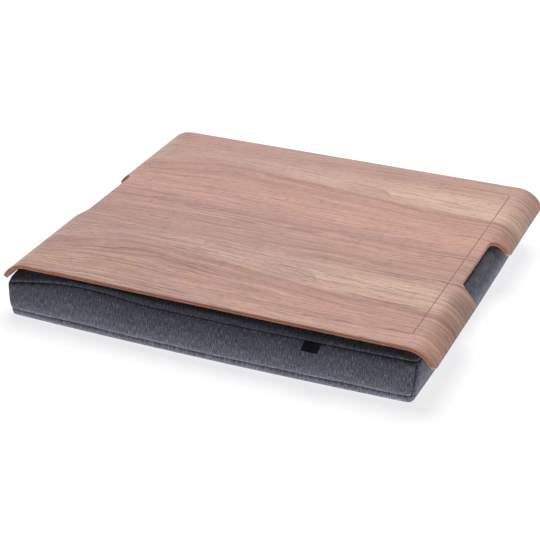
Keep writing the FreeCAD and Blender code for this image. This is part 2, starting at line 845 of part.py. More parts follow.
def make_slider():
    """The slider: a front and a back plate joined by a web that runs between the rows of teeth."""
    slider = new_body("zip_slider")
    low_x, high_x = f"({SLIDER_REST_X} - slider_length / 2)", f"({SLIDER_REST_X} + slider_length / 2)"
    inner = f"({TEETH_REACH} + 2 * zip_clearance)"
    outer = f"({inner} + slider_flange)"
    radius = "slider_corner_radius"
    low_z, high_z = f"(zip_height - {outer})", f"(zip_height + {outer})"
    plate = rounded_rectangle(low_x, high_x, low_z, high_z, radius)
    # A sketch on the XZ plane pads towards -Y, so its offsets are measured that way.
    add_pad(slider, "front_plate", "XZ_Plane", f"-{SLIDER_OUTER}", [plate], "slider_plate")
    flanges = []
    for side in (-1, 1):
        faces = (f"(zip_height + {side} * {inner})", f"(zip_height + {side} * {outer})")
        edges = sorted(faces, key=number)
        flanges.append(rectangle(f"({low_x} + {radius})", f"({high_x} - {radius})", *edges))
    flange_depth = "(tooth_height - zip_clearance)"
    add_pad(slider, "flanges", "XZ_Plane", f"-{SLIDER_INNER}", flanges, flange_depth)
    web = rectangle(
        f"({high_x} - {radius} - slider_web_length)",
        f"({high_x} - {radius})",
        "(zip_height - slider_web / 2)",
        "(zip_height + slider_web / 2)",
    )
    back_face = f"({ZIP_BACK} - zip_clearance)"
    add_pad(slider, "web", "XZ_Plane", f"-{SLIDER_INNER}", [web], f"{SLIDER_INNER} - {back_face}")
    back_plate = rounded_rectangle(low_x, high_x, low_z, high_z, radius)
    add_pad(slider, "back_plate", "XZ_Plane", f"-{back_face}", [back_plate], "slider_plate")
    add_bridge(slider)
    return slider


def add_bridge(slider):
    """The bridge on the slider's front, that the pull's bar passes under."""
    half = "(slider_length / 2 - bridge_post / 2)"
    foot = f"({SLIDER_OUTER} - slider_plate / 2)"
    roof = f"({PULL_BAR_Y} + pull_bar / 2 + zip_clearance)"
    top = f"({roof} + bridge_roof)"
    left, right = f"({SLIDER_REST_X} - {half})", f"({SLIDER_REST_X} + {half})"
    arch = [
        (left, foot),
        (f"({left} + bridge_post)", foot),
        (f"({left} + bridge_post)", roof),
        (f"({right} - bridge_post)", roof),
        (f"({right} - bridge_post)", foot),
        (right, foot),
        (right, f"({top} - bridge_roof)", "bridge_roof", 1),
        (f"({right} - bridge_roof)", top),
        (f"({left} + bridge_roof)", top, "bridge_roof", 1),
        (left, f"({top} - bridge_roof)"),
    ]
    add_pad(slider, "bridge", "XY_Plane", "zip_height - bridge_width / 2", [arch], "bridge_width")


def make_pull():
    """The pull: a tab on two arms, with a round bar that turns under the slider's bridge."""
    pull = new_body("zip_pull")
    bar_x = SLIDER_REST_X
    arm_inner = "(bridge_width / 2 + zip_clearance + pull_bar / 2)"
    arm_outer = f"({arm_inner} + pull_arm)"
    end = f"({bar_x} - pull_length)"
    neck = f"({bar_x} - pull_reach)"
    radius = "pull_end_radius"
    half = "(pull_width / 2)"

    def z(place):
        return f"(zip_height + {place})"

    frame = [
        (f"({bar_x} + pull_bar / 2)", z(f"-{arm_outer}")),
        (f"({bar_x} + pull_bar / 2)", z(arm_outer)),
        (neck, z(arm_outer)),
        (neck, z(half)),
        (f"({end} + {radius})", z(half), radius, 1),
        (end, z(f"{half} - {radius}")),
        (end, z(f"-{half} + {radius}"), radius, 1),
        (f"({end} + {radius})", z(f"-{half}")),
        (neck, z(f"-{half}")),
        (neck, z(f"-{arm_outer}")),
    ]
    window = rectangle(
        f"({neck} + pull_bar)", f"({bar_x} + pull_bar)", z(f"-{arm_inner}"), z(arm_inner)
    )
    front = f"-({PULL_BAR_Y} + pull_bar / 2)"
    add_pad(pull, "frame", "XZ_Plane", front, [frame], "pull_bar")
    sketch = new_sketch(pull, "window", "XZ_Plane")
    draw_loop(sketch, window)
    cut_away(pull, sketch)
    bar = pull.newObject("PartDesign::AdditiveCylinder", "pull_bar_round")
    bind(bar, "Radius", "pull_bar / 2")
    bind(bar, "Height", f"2 * {arm_inner} + 2 * pull_arm")
    plane = [face for face in pull.Origin.OriginFeatures if face.Role == "XY_Plane"][0]
    bar.AttachmentSupport = [(plane, "")]
    bar.MapMode = "FlatFace"
    bind(bar, "AttachmentOffset.Base.x", bar_x)
    bind(bar, "AttachmentOffset.Base.y", PULL_BAR_Y)
    bind(bar, "AttachmentOffset.Base.z", f"zip_height - {arm_outer}")
    pull.Tip = bar
    return pull


def make_zip():
    """The zip along the back wall."""
    return [
        make_zip_tape("zip_tape_upper", 1),
        make_zip_tape("zip_tape_lower", -1),
        make_zip_teeth("zip_teeth_upper", 1),
        make_zip_teeth("zip_teeth_lower", -1),
        make_zip_stops(),
        make_slider(),
        make_pull(),
    ]


def check_document():
    """Stops if any object failed to compute."""
    for thing in document.Objects:
        if "Invalid" in thing.State or "Error" in thing.State:
            raise ValueError(f"{thing.Label} failed: {thing.State}")


def export(parts):
    """Writes each sub-part to its own STEP file."""
    os.makedirs("parts", exist_ok=True)
    for part in parts:
        shape = part.Shape
        if shape.isNull() or not shape.isValid() or not shape.Solids:
            raise ValueError(f"{part.Label} has no valid solid")
        shape.exportStep(os.path.join("parts", f"{part.Label}.step"))
        print(f"{part.Label}: {len(shape.Solids)} solids, {shape.Volume:.1f} mm3")


sizes_sheet = make_sheet()
sub_parts = make_board()
sub_parts.append(make_strips("hook_tapes", f"{LOOP_TOP} + hook_and_loop_gap", "hook_thickness"))
sub_parts.append(make_strips("loop_tapes", "cushion_height", "loop_thickness"))
sub_parts += make_cover()
sub_parts += make_bag()
sub_parts.append(make_tag())
sub_parts += make_zip()
document.recompute()
check_document()
export(sub_parts)
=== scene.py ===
"""The looks of a lap tray: a moulded walnut plywood board on a bead cushion in a zipped cover."""

import logging
import math
from dataclasses import dataclass, field, replace
from enum import Enum
from functools import partial
from typing import Any, Iterable, Sequence

import bmesh
import bpy
from mathutils import Matrix, Vector, noise
from mathutils.bvhtree import BVHTree


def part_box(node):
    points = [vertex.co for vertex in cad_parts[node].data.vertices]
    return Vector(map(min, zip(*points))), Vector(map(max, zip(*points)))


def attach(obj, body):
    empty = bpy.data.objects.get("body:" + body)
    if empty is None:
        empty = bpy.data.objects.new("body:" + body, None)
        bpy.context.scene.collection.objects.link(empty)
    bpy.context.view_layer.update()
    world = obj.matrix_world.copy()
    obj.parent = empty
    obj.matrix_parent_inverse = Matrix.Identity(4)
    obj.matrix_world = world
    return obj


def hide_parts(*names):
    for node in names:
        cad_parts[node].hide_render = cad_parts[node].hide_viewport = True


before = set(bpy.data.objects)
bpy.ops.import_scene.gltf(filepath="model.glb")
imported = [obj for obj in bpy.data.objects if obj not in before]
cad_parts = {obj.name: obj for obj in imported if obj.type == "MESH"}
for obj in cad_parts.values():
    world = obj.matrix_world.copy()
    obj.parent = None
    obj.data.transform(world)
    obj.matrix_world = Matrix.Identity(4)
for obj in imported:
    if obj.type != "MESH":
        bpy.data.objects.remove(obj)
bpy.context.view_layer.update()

LOG = logging.getLogger("lap_tray")
MM = 0.001
Point = tuple[float, float]


# ---------------------------------------------------------------- colours and nodes


def linear(hex_colour: str) -> tuple[float, float, float, float]:
    """Turns an sRGB colour into the linear one that a shader takes.

    Args:
        hex_colour: the colour as "#RRGGBB".

    Returns:
        Red, green, blue and an alpha of 1.
    """
    parts = [int(hex_colour[i : i + 2], 16) / 255 for i in (1, 3, 5)]
    red, green, blue = (p / 12.92 if p <= 0.04045 else ((p + 0.055) / 1.055) ** 2.4 for p in parts)
    return red, green, blue, 1.0


def add_node(
    tree: bpy.types.NodeTree,
    kind: str,
    inputs: dict[str | int, Any] | None = None,
    stops: Sequence[tuple[float, str]] = (),
    curve: Sequence[Point] = (),
    **settings: Any,
) -> bpy.types.Node:
    """Adds one shader node with its settings and links.

    Args:
        tree: the material's or world's node tree.
        kind: the node's type after "ShaderNode".
        inputs: a socket's name or number, and its value or the node or socket that feeds it.
        stops: a colour ramp's stops, each a place from 0 to 1 and a hex colour.
        curve: a float curve's points, each from 0 to 1.
        **settings: the node's own settings.

    Returns:
        The new node.
    """
    node = tree.nodes.new("ShaderNode" + kind)
    for name, value in settings.items():
        setattr(node, name, value)
    if stops:
        elements = node.color_ramp.elements
        while len(elements) < len(stops):
            elements.new(0.5)
        for element, (place, colour) in zip(elements, sorted(stops)):
            element.position = place
            element.color = linear(colour)
    if curve:
        points = node.mapping.curves[0].points
        while len(points) < len(curve):
            points.new(0.5, 0.5)
        for point, place in zip(points, sorted(curve)):
            point.location = place
        node.mapping.update()
    for name, value in (inputs or {}).items():
        if isinstance(name, int):
            socket = node.inputs[name]
        else:
            socket = next(s for s in node.inputs if s.enabled and s.name == name)
        if isinstance(value, bpy.types.Node):
            value = next(s for s in value.outputs if s.enabled)
        if isinstance(value, bpy.types.NodeSocket):
            tree.links.new(value, socket)
        else:
            socket.default_value = value
    return node


def bare_tree(owner: bpy.types.ID) -> bpy.types.NodeTree:
    """Turns on the nodes of a material or world and empties their tree.

    Args:
        owner: the material or world.

    Returns:
        Its node tree.
    """
    owner.use_nodes = True
    owner.node_tree.nodes.clear()
    return owner.node_tree


def seen_rays(tree: bpy.types.NodeTree) -> bpy.types.Node:
    """Tells the rays that look at the white studio from those that only carry its light.

    Args:
        tree: the node tree of the room or the floor.

    Returns:
        The node that is 1 for a ray that looks, and otherwise 0.
    """
    rays = add_node(tree, "LightPath").outputs
    seen = rays["Is Camera Ray"]
    for kind in ("Is Glossy Ray", "Is Transmission Ray"):
        seen = add_node(tree, "Math", {0: seen, 1: rays[kind]}, operation="MAXIMUM")
    return seen


# ---------------------------------------------------------------- finishes


@dataclass(frozen=True)
class Finish:
    """What every finish shares: its name, gloss and the steady values of its shader."""

    name: str
    roughness: float = 0.5
    metallic: float = 0.0
    ior: float = 1.5
    specular: float = 0.5
    sheen: float = 0.0
    sheen_roughness: float = 0.5
    sheen_tint: str = "#FFFFFF"

    def make(self) -> bpy.types.Material:
        """Makes the material: the shader's steady values, then the pattern of the finish.

        Returns:
            The new material.
        """
        material = bpy.data.materials.new(self.name)
        tree = bare_tree(material)
        steady = {
            "Roughness": self.roughness,
            "Metallic": self.metallic,
            "IOR": self.ior,
            "Specular IOR Level": self.specular,
            "Sheen Weight": self.sheen,
            "Sheen Roughness": self.sheen_roughness,
            "Sheen Tint": linear(self.sheen_tint),
        }
        shader = add_node(tree, "BsdfPrincipled", {**steady, **self.pattern(tree)})
        add_node(tree, "OutputMaterial", {"Surface": shader})
        return material

    def pattern(self, tree: bpy.types.NodeTree) -> dict[str, bpy.types.Node]:
        """Adds the nodes that give the finish its colour, bump and change of gloss.

        Args:
            tree: the material's node tree.

        Returns:
            The nodes that feed the shader, by the name of its socket.
        """
        raise NotImplementedError

    def millimetres(self, tree: bpy.types.NodeTree) -> bpy.types.Node:
        """Gives the place on the object in millimetres.

        Args:
            tree: the material's node tree.

        Returns:
            The node with the place.
        """
        place = add_node(tree, "TexCoord").outputs["Object"]
        return add_node(tree, "Mapping", {"Vector": place, "Scale": (1000,) * 3})

    def stretched(
        self, tree: bpy.types.NodeTree, place: Any, grain: Sequence[float], **values: Any
    ) -> bpy.types.Node:
        """Adds a noise whose grains have a real size.

        Args:
            tree: the material's node tree.
            place: the node or socket with the place in millimetres.
            grain: the grain's length along each axis, in millimetres.
            **values: the noise's detail and roughness, by socket name in lower case.

        Returns:
            The noise node, whose first output is its value from 0 to 1.
        """
        scale = tuple(1 / g if g else 0.0 for g in grain)
        mapped = add_node(tree, "Mapping", {"Vector": place, "Scale": scale})
        inputs = {"Vector": mapped, "Scale": 1.0}
        inputs.update({name.capitalize(): value for name, value in values.items()})
        return add_node(tree, "TexNoise", inputs)


@dataclass(frozen=True)
class Figure:
    """One layer of a wood's figure: its grain in millimetres, and how it lightens and darkens."""

    grain: tuple[float, float, float]
    roughness: float
    values: Point
    shades: Point
    detail: float = 2.0
    follows: bool = True


@dataclass
class Sheet:
    """The nodes that say where a point lies on the veneer, in millimetres.

    run goes along the bent sheet and deep from front to back. across starts at a leaf's front
    edge, grain is the same along the waving grain lines, and share is grain's share of the leaf.
    """

    flat: bpy.types.Node
    run: bpy.types.Node
    deep: bpy.types.NodeSocket
    across: bpy.types.Node
    ripple: bpy.types.Node
    grain: bpy.types.Node
    share: bpy.types.Node


@dataclass(frozen=True)
class Walnut(Finish):
    """Sliced walnut veneer under a thin lacquer, two leaves slipped side by side, in millimetres.

    The eye sees long soft bands along the board, an arched dark vein and a few sharp fine ones in
    each leaf, a pale tongue of sapwood to the right, and short open pores.
    """

    leaf: float = 218.0
    joint: float = 2.0
    half_run: float = 256.0
    half_depth: float = 193.0
    tone: float = 1.0
    pale: str = "#D8B7A3"
    vein: str = "#7C5446"
    pore: str = "#77564B"
    bands: tuple[tuple[float, str], ...] = (
        (0, "#B68C81"),
        (6, "#AE847B"),
        (14, "#BA8F85"),
        (40, "#C29486"),
        (66, "#C09485"),
        (84, "#B88C80"),
        (98, "#B5897D"),
        (101, "#AE8378"),
        (106, "#B68E81"),
        (126, "#B99389"),
        (146, "#B89287"),
        (170, "#B48B80"),
        (190, "#B3897D"),
        (206, "#BA8F83"),
        (218, "#B68C81"),
    )
    veins: tuple[tuple[float, float, float], ...] = (
        (5, 7, 0.30),
        (53, 2.6, 0.16),
        (60, 2.4, 0.14),
        (69, 4.2, 0.30),
        (83.5, 4.5, 0.36),
        (91, 3, 0.18),
        (100.5, 5, 0.42),
        (151, 2.6, 0.22),
        (163, 2.4, 0.18),
        (176, 2.8, 0.12),
    )
    vein_edge: float = 0.9
    vein_fade: Point = (0.3, 1.2)
    wander: float = 7.5
    ripple: float = 1.1
    arch_reach: float = 30.0
    arch: tuple[Point, ...] = (
        (-256, -24),
        (-200, -6),
        (-175, 3),
        (-150, 10),
        (-120, 15.5),
        (-90, 16),
        (-65, 12.5),
        (-30, 10),
        (0, 6),
        (50, 0),
        (100, -6),
        (150, -10),
        (200, -12),
        (256, -15),
    )
    arch_share: tuple[Point, ...] = (
        (0, 0.15),
        (0.25, 0.35),
        (0.42, 0.92),
        (0.5, 1),
        (0.62, 0.5),
        (0.75, 0.1),
        (1, 0.1),
    )
    tongue: tuple[Point, ...] = (
        (0, 136),
        (20, 132),
        (40, 128),
        (60, 125),
        (71, 121),
        (77, 112),
        (87, 107),
        (115, 103),
        (150, 98),
        (200, 92),
        (256, 86),
    )
    tongue_start: Point = (8.0, 30.0)
    tongue_rise: Point = (-0.8, 0.3)
    tongue_fall: Point = (0.3, 5.5)
    tongue_ink: float = 0.34
    sap_front: Point = (103.0, 111.0)
    sap_back: Point = (134.0, 160.0)
    sap_run: Point = (-95.0, 70.0)
    sap_strength: float = 0.60
    sap_under_tongue: float = 0.35
    # The right bend is painted browner, partly the wood's own brown and partly painted shade, and
    # lighter at its front, a painted light.
    bend_start: Point = (202.0, 216.0)
    bend_brown_and_shade: float = 0.36
    bend_painted_light_gain: float = 1.16
    bend_sap: float = 0.15
    brown_and_shade_share: tuple[Point, ...] = (
        (0, 0),
        (0.1, 0.12),
        (0.18, 0.7),
        (0.31, 0.95),
        (0.33, 0.35),
        (1, 0.25),
    )
    bend_painted_light_share: tuple[Point, ...] = ((0, 1), (0.12, 0.9), (0.2, 0.2), (0.3, 0), (1, 0.2))
    ring: float = 5.2
    ring_depth: float = 0.55
    ring_wander: float = 13.0
    ring_on_bend: float = 1.35
    ring_profile: tuple[Point, ...] = ((0, 0.0), (0.5, 0.08), (0.8, 0.42), (0.91, 1.0), (1, 0.0))
    figure: tuple[Figure, ...] = (
        Figure((15, 0.8, 0), 0.55, (0.25, 0.75), (0.89, 1.11)),
        Figure((170, 4.4, 0), 0.62, (0.32, 0.66), (0.83, 1.12)),
        Figure((60, 1.7, 0), 0.6, (0.3, 0.7), (0.87, 1.12)),
        Figure((34, 17, 0), 0.6, (0.25, 0.75), (0.95, 1.05), detail=3.0, follows=False),
    )
    pores: Figure = Figure((9, 1.1, 0), 0.5, (0.58, 0.72), (0.0, 0.55), detail=1.0, follows=False)
    lively: Point = (1.5, 0.8)
    # The wood is painted lighter from left to right and from front to back, a painted gradient of
    # light.
    painted_light_left_to_right: Point = (0.945, 1.04)
    painted_light_front_to_back: Point = (0.965, 1.02)
    warmest: tuple[float, float, float] = (1.02, 1.0, 0.94)

    def pattern(self, tree: bpy.types.NodeTree) -> dict[str, bpy.types.Node]:
        """Draws the veneer's figure, grain lines, fibres and pores.

        Args:
            tree: the material's node tree.

        Returns:
            The nodes that feed the shader, by the name of its socket.
        """
        add = partial(add_node, tree)
        sheet = self.lay(tree)
        inked, strength = self.ink(tree, sheet)
        strip, light = self.sapwood(tree, sheet, strength)
        brown_and_shade, bend_painted_light = self.right_bend(tree, sheet)
        dark = {0: strip, 1: self.tongue_ink, 2: inked}
        dark = add("Math", dark, operation="MULTIPLY_ADD", use_clamp=True)
        kept = add("MapRange", {"Value": brown_and_shade, 3: 1.0, 4: self.bend_sap})
        light = add("Math", {0: light, 1: kept}, operation="MULTIPLY")

        # Fibres of 0.6 mm, grain lines about 4 mm and 2 mm apart, clouds, and pores 8 mm long.
        grained = add("CombineXYZ", {0: sheet.run, 1: sheet.grain, 2: 0.0})
        noises, shades = [], []
        for layer in (*self.figure, self.pores):
            place = grained if layer.follows else sheet.flat
            look = {"detail": layer.detail, "roughness": layer.roughness}
            noises.append(self.stretched(tree, place, layer.grain, **look))
            spread = dict(enumerate((*layer.values, *layer.shades), 1))
            shades.append(add("MapRange", {"Value": noises[-1], **spread}))
        *layers, holes = shades
        shade = layers[0]
        for layer in layers[1:]:
            shade = add("Math", {0: shade, 1: layer}, operation="MULTIPLY")

        # The figure is livelier towards the front, and the wood is painted lighter to the right and
        # to the back, a painted gradient of light.
        front, back = self.lively
        lively = add("MapRange", {"Value": sheet.deep, 1: -190.0, 2: 150.0, 3: front, 4: back})
        shade = add("Math", {0: shade, 1: 1.0}, operation="SUBTRACT")
        shade = add("Math", {0: shade, 1: lively, 2: 1.0}, operation="MULTIPLY_ADD")
        left, right = (end * self.tone for end in self.painted_light_left_to_right)
        drift = add("MapRange", {"Value": sheet.run, 1: -230.0, 2: 210.0, 3: left, 4: right})
        front, back = self.painted_light_front_to_back
        depth = add("MapRange", {"Value": sheet.deep, 1: -190.0, 2: 120.0, 3: front, 4: back})
        for part in (drift, depth, bend_painted_light):
            shade = add("Math", {0: shade, 1: part}, operation="MULTIPLY")

        rings = add("Math", {0: self.rings(tree, sheet, grained), 1: lively}, operation="MULTIPLY")
        dark = add("Math", {0: dark, 1: rings}, operation="ADD", use_clamp=True)
        # The bend's brown and painted shade deepen the dark.
        dark = {0: brown_and_shade, 1: self.bend_brown_and_shade, 2: dark}
        dark = add("Math", dark, operation="MULTIPLY_ADD", use_clamp=True)
        bands = [(y / self.leaf, colour) for y, colour in self.bands]
        colour = add("ValToRGB", {"Fac": sheet.share}, stops=bands)
        for share, tone in ((light, self.pale), (dark, self.vein), (holes, self.pore)):
            colour = add("Mix", {"Factor": share, "A": colour, "B": linear(tone)}, data_type="RGBA")
        # The wood warms a little to the right.
        warmth = add("MapRange", {"Value": sheet.run, 1: -60.0, 2: 200.0})
        warm = add(
            "Mix", {"Factor": warmth, "A": (1.0, 1.0, 1.0), "B": self.warmest}, data_type="VECTOR"
        )
        colour = add("VectorMath", {0: colour, 1: warm}, operation="MULTIPLY")
        # The pores are matt and sunken.
        matt = min(self.roughness + 0.2, 1.0)
        height = add("Math", {0: noises[0], 1: holes}, operation="SUBTRACT")
        return {
            "Base Color": add("VectorMath", {0: colour, "Scale": shade}, operation="SCALE"),
            "Roughness": add("MapRange", {"Value": holes, 2: 0.42, 3: self.roughness, 4: matt}),
            "Normal": add("Bump", {"Strength": 0.35, "Distance": 0.12 * MM, "Height": height}),
        }

    def lay(self, tree: bpy.types.NodeTree) -> Sheet:
        """Finds a point's place on the sheet, on its leaf and among the waving grain lines.

        Args:
            tree: the material's node tree.

        Returns:
            The nodes with that place.
        """
        add = partial(add_node, tree)
        axes = add("SeparateXYZ", {0: self.millimetres(tree)})
        deep = axes.outputs["Y"]
        run = self.along_the_sheet(tree, axes.outputs["X"])
        lower = add("Math", {0: deep, 1: self.joint}, operation="LESS_THAN")
        across = add("Math", {0: lower, 1: self.leaf, 2: deep}, operation="MULTIPLY_ADD")
        flat = add("CombineXYZ", {0: run, 1: deep, 2: 0.0})

        # The grain lines follow the arch, which fades away from the dark vein, and wander a little.
        half, reach = self.half_run, self.arch_reach
        turn = add("MapRange", {"Value": run, 1: -half, 2: half})
        bow = [((x / half + 1) / 2, 0.5 + y / (2 * reach)) for x, y in self.arch]
        arch = add("FloatCurve", {"Value": turn}, curve=bow)
        offset = add("MapRange", {"Value": arch, 3: -reach, 4: reach})
        place = add("MapRange", {"Value": across, 2: self.leaf})
        spread = add("FloatCurve", {"Value": place}, curve=self.arch_share)
        bowed = add("Math", {0: offset, 1: spread}, operation="MULTIPLY")
        grain = add("Math", {0: across, 1: bowed}, operation="SUBTRACT")
        wander = self.stretched(tree, flat, (95, 26, 0), detail=2.0, roughness=0.45)
        ripple = self.stretched(tree, flat, (13, 6, 0), detail=1.0, roughness=0.5)
        wander = add("MapRange", {"Value": wander, 3: -self.wander, 4: self.wander})
        ripple = add("MapRange", {"Value": ripple, 3: -self.ripple, 4: self.ripple})
        for wave in (wander, ripple):
            grain = add("Math", {0: grain, 1: wave}, operation="ADD")
        share = add("MapRange", {"Value": grain, 2: self.leaf})
        return Sheet(flat, run, deep, across, ripple, grain, share)

    def ink(
        self, tree: bpy.types.NodeTree, sheet: Sheet
    ) -> tuple[bpy.types.Node, bpy.types.Node]:
        """Draws fine dark veins, each soft on one side and sharp on the other.

        Args:
            tree: the material's node tree.
            sheet: the place on the veneer.

        Returns:
            The nodes with the veins' darkness, and with the strength at which they come and go.
        """
        stops = []
        for middle, width, depth in self.veins:
            level = f"{round(255 * depth ** (1 / 2.2)):02X}"
            stops += [
                ((middle - width) / self.leaf, "#000000"),
                (middle / self.leaf, f"#{level * 3}"),
                ((middle + self.vein_edge) / self.leaf, "#000000"),
            ]
        veins = add_node(tree, "ValToRGB", {"Fac": sheet.share}, stops=stops)
        fade = self.stretched(tree, sheet.flat, (110, 7, 0), detail=2.0)
        weak, strong = self.vein_fade
        strength = add_node(tree, "MapRange", {"Value": fade, 1: 0.34, 2: 0.62, 3: weak, 4: strong})
        return add_node(tree, "Math", {0: veins, 1: strength}, operation="MULTIPLY"), strength

    def sapwood(
        self, tree: bpy.types.NodeTree, sheet: Sheet, strength: bpy.types.Node
    ) -> tuple[bpy.types.Node, bpy.types.Node]:
        """Draws the sapwood over the dark vein: pale to the right, and less so under its tongue.

        Args:
            tree: the material's node tree.
            sheet: the place on the veneer.
            strength: the node with the strength of the dark lines.

        Returns:
            The nodes with the darkness of the tongue's edge, and with the share of pale wood.
        """
        add = partial(add_node, tree)
        side = add("MapRange", {"Value": sheet.run, 2: self.half_run})
        low, *_, high = sorted(y for _, y in self.tongue)
        edge = [(x / self.half_run, (y - low) / (high - low)) for x, y in self.tongue]
        tongue = add("FloatCurve", {"Value": side}, curve=edge)
        line = add("MapRange", {"Value": tongue, 3: low, 4: high})
        above = add("Math", {0: sheet.across, 1: line}, operation="SUBTRACT")
        above = add("Math", {0: above, 1: sheet.ripple}, operation="ADD")

        reach, rise, fall, front, back, start, under = (
            add("MapRange", {"Value": value, **dict(enumerate(ends, 1))})
            for value, ends in (
                (sheet.run, (*self.tongue_start, 0.0, 1.0)),
                (above, (*self.tongue_rise, 0.0, 1.0)),
                (above, (*self.tongue_fall, 1.0, 0.0)),
                (sheet.grain, (*self.sap_front, 0.0, 1.0)),
                (sheet.grain, (*self.sap_back, 1.0, 0.0)),
                (sheet.run, (*self.sap_run, 0.0, self.sap_strength)),
                (above, (-2.0, 3.0, self.sap_under_tongue, 1.0)),
            )
        )
        strip, light = rise, front
        for part in (fall, reach, strength):
            strip = add("Math", {0: strip, 1: part}, operation="MULTIPLY")
        for part in (back, start, add("Mix", {0: reach, 2: 1.0, 3: under})):
            light = add("Math", {0: light, 1: part}, operation="MULTIPLY")
        return strip, light

    def right_bend(
        self, tree: bpy.types.NodeTree, sheet: Sheet
    ) -> tuple[bpy.types.Node, bpy.types.Node]:
        """Shades the right bend: browner to the front, partly its own brown and partly painted
        shade, and painted lighter at its front.

        Args:
            tree: the material's node tree.
            sheet: the place on the veneer.

        Returns:
            The nodes with the share of brown and painted shade, and with how many times lighter the
            painted light makes the wood.
        """
        add = partial(add_node, tree)
        start, end = self.bend_start
        bend = add("MapRange", {"Value": sheet.run, 1: start, 2: end})
        deep = add("MapRange", {"Value": sheet.deep, 1: -self.half_depth, 2: self.half_depth})
        shares = [
            add("FloatCurve", {"Value": deep}, curve=curve)
            for curve in (self.brown_and_shade_share, self.bend_painted_light_share)
        ]
        brown_and_shade, bend_painted_light = (add("Math", {0: bend, 1: share}, operation="MULTIPLY") for share in shares)
        return brown_and_shade, add("MapRange", {"Value": bend_painted_light, 3: 1.0, 4: self.bend_painted_light_gain})

    def rings(
        self, tree: bpy.types.NodeTree, sheet: Sheet, grained: bpy.types.Node
    ) -> bpy.types.Node:
        """Draws growth rings about 5 mm apart, each darkest at its sharp late edge.

        Args:
            tree: the material's node tree.
            sheet: the place on the veneer.
            grained: the node with the place along and across the grain lines.

        Returns:
            The node with the rings' darkness, which is strongest on the bends.
        """
        add = partial(add_node, tree)
        uneven = self.stretched(tree, grained, (260, 15, 0), detail=2.0, roughness=0.55)
        uneven = add("MapRange", {"Value": uneven, 3: -self.ring_wander, 4: self.ring_wander})
        spaced = add("Math", {0: sheet.grain, 1: uneven}, operation="ADD")
        turned = add("Math", {0: spaced, 1: 1 / self.ring}, operation="MULTIPLY")
        phase = add("Math", {0: turned}, operation="FRACT")
        dark = add("FloatCurve", {"Value": phase}, curve=self.ring_profile)
        patchy = self.stretched(tree, sheet.flat, (130, 22, 0), detail=2.0)
        patchy = add("MapRange", {"Value": patchy, 1: 0.36, 2: 0.66, 3: 0.12, 4: 1.0})
        bent = add("Math", {0: sheet.run}, operation="ABSOLUTE")
        bent = add("MapRange", {"Value": bent, 1: 190.0, 2: 222.0, 3: 1.0, 4: self.ring_on_bend})
        for part in (patchy, bent, self.ring_depth):
            dark = add("Math", {0: dark, 1: part}, operation="MULTIPLY")
        return dark

    def along_the_sheet(
        self, tree: bpy.types.NodeTree, x: bpy.types.NodeSocket
    ) -> bpy.types.Node:
        """Measures x along the bent sheet, so that the grain isn't squeezed where it turns down.

        Args:
            tree: the material's node tree.
            x: the socket with the straight distance from the board's middle, in millimetres.

        Returns:
            The node with the distance along the sheet, in millimetres.
        """
        add = partial(add_node, tree)
        sizes = BoardSizes()
        flat, radius = sizes.half_flat / MM, sizes.bend_radius / MM
        turn = math.sin(math.radians(sizes.bend_angle))
        end = flat + radius * turn
        away = add("Math", {0: x}, operation="ABSOLUTE")
        level = add("Math", {0: away, 1: flat}, operation="MINIMUM")
        sine = add("MapRange", {"Value": away, 1: flat, 2: end, 4: turn})
        angle = add("Math", {0: sine}, operation="ARCSINE")
        bend = add("Math", {0: angle, 1: radius, 2: level}, operation="MULTIPLY_ADD")
        lip = add("MapRange", {"Value": away, 1: end, 2: end + 2, 4: 4.0})
        total = add("Math", {0: bend, 1: lip}, operation="ADD")
        side = add("Math", {0: x}, operation="SIGN")
        return add("Math", {0: total, 1: side}, operation="MULTIPLY")


@dataclass(frozen=True)
class PlyEdge(Finish):
    """The sanded edge of a rotary-cut ply, which shows as a warm stripe with fine dark ticks."""

    light: str = "#EBA178"
    dark: str = "#D07C4C"
    tick: str = "#7A4428"

    def pattern(self, tree: bpy.types.NodeTree) -> dict[str, bpy.types.Node]:
        """Draws the ply's tone, its vessel ends and the sander's faint marks.

        Args:
            tree: the material's node tree.

        Returns:
            The nodes that feed the shader, by the name of its socket.
        """
        add = partial(add_node, tree)
        mm = self.millimetres(tree)
        tone = self.stretched(tree, mm, (16, 16, 2), detail=3.0, roughness=0.6)
        colour = add("ValToRGB", {"Fac": tone}, stops=((0.3, self.dark), (0.68, self.light)))
        vessels = self.stretched(tree, mm, (0.9, 0.9, 0.35), detail=1.0)
        ticks = add("MapRange", {"Value": vessels, 1: 0.58, 2: 0.72, 3: 0.0, 4: 0.5})
        mixed = {"Factor": ticks, "A": colour, "B": linear(self.tick)}
        return {
            "Base Color": add("Mix", mixed, data_type="RGBA"),
            "Normal": add("Bump", {"Strength": 0.3, "Distance": 0.08 * MM, "Height": vessels}),
        }


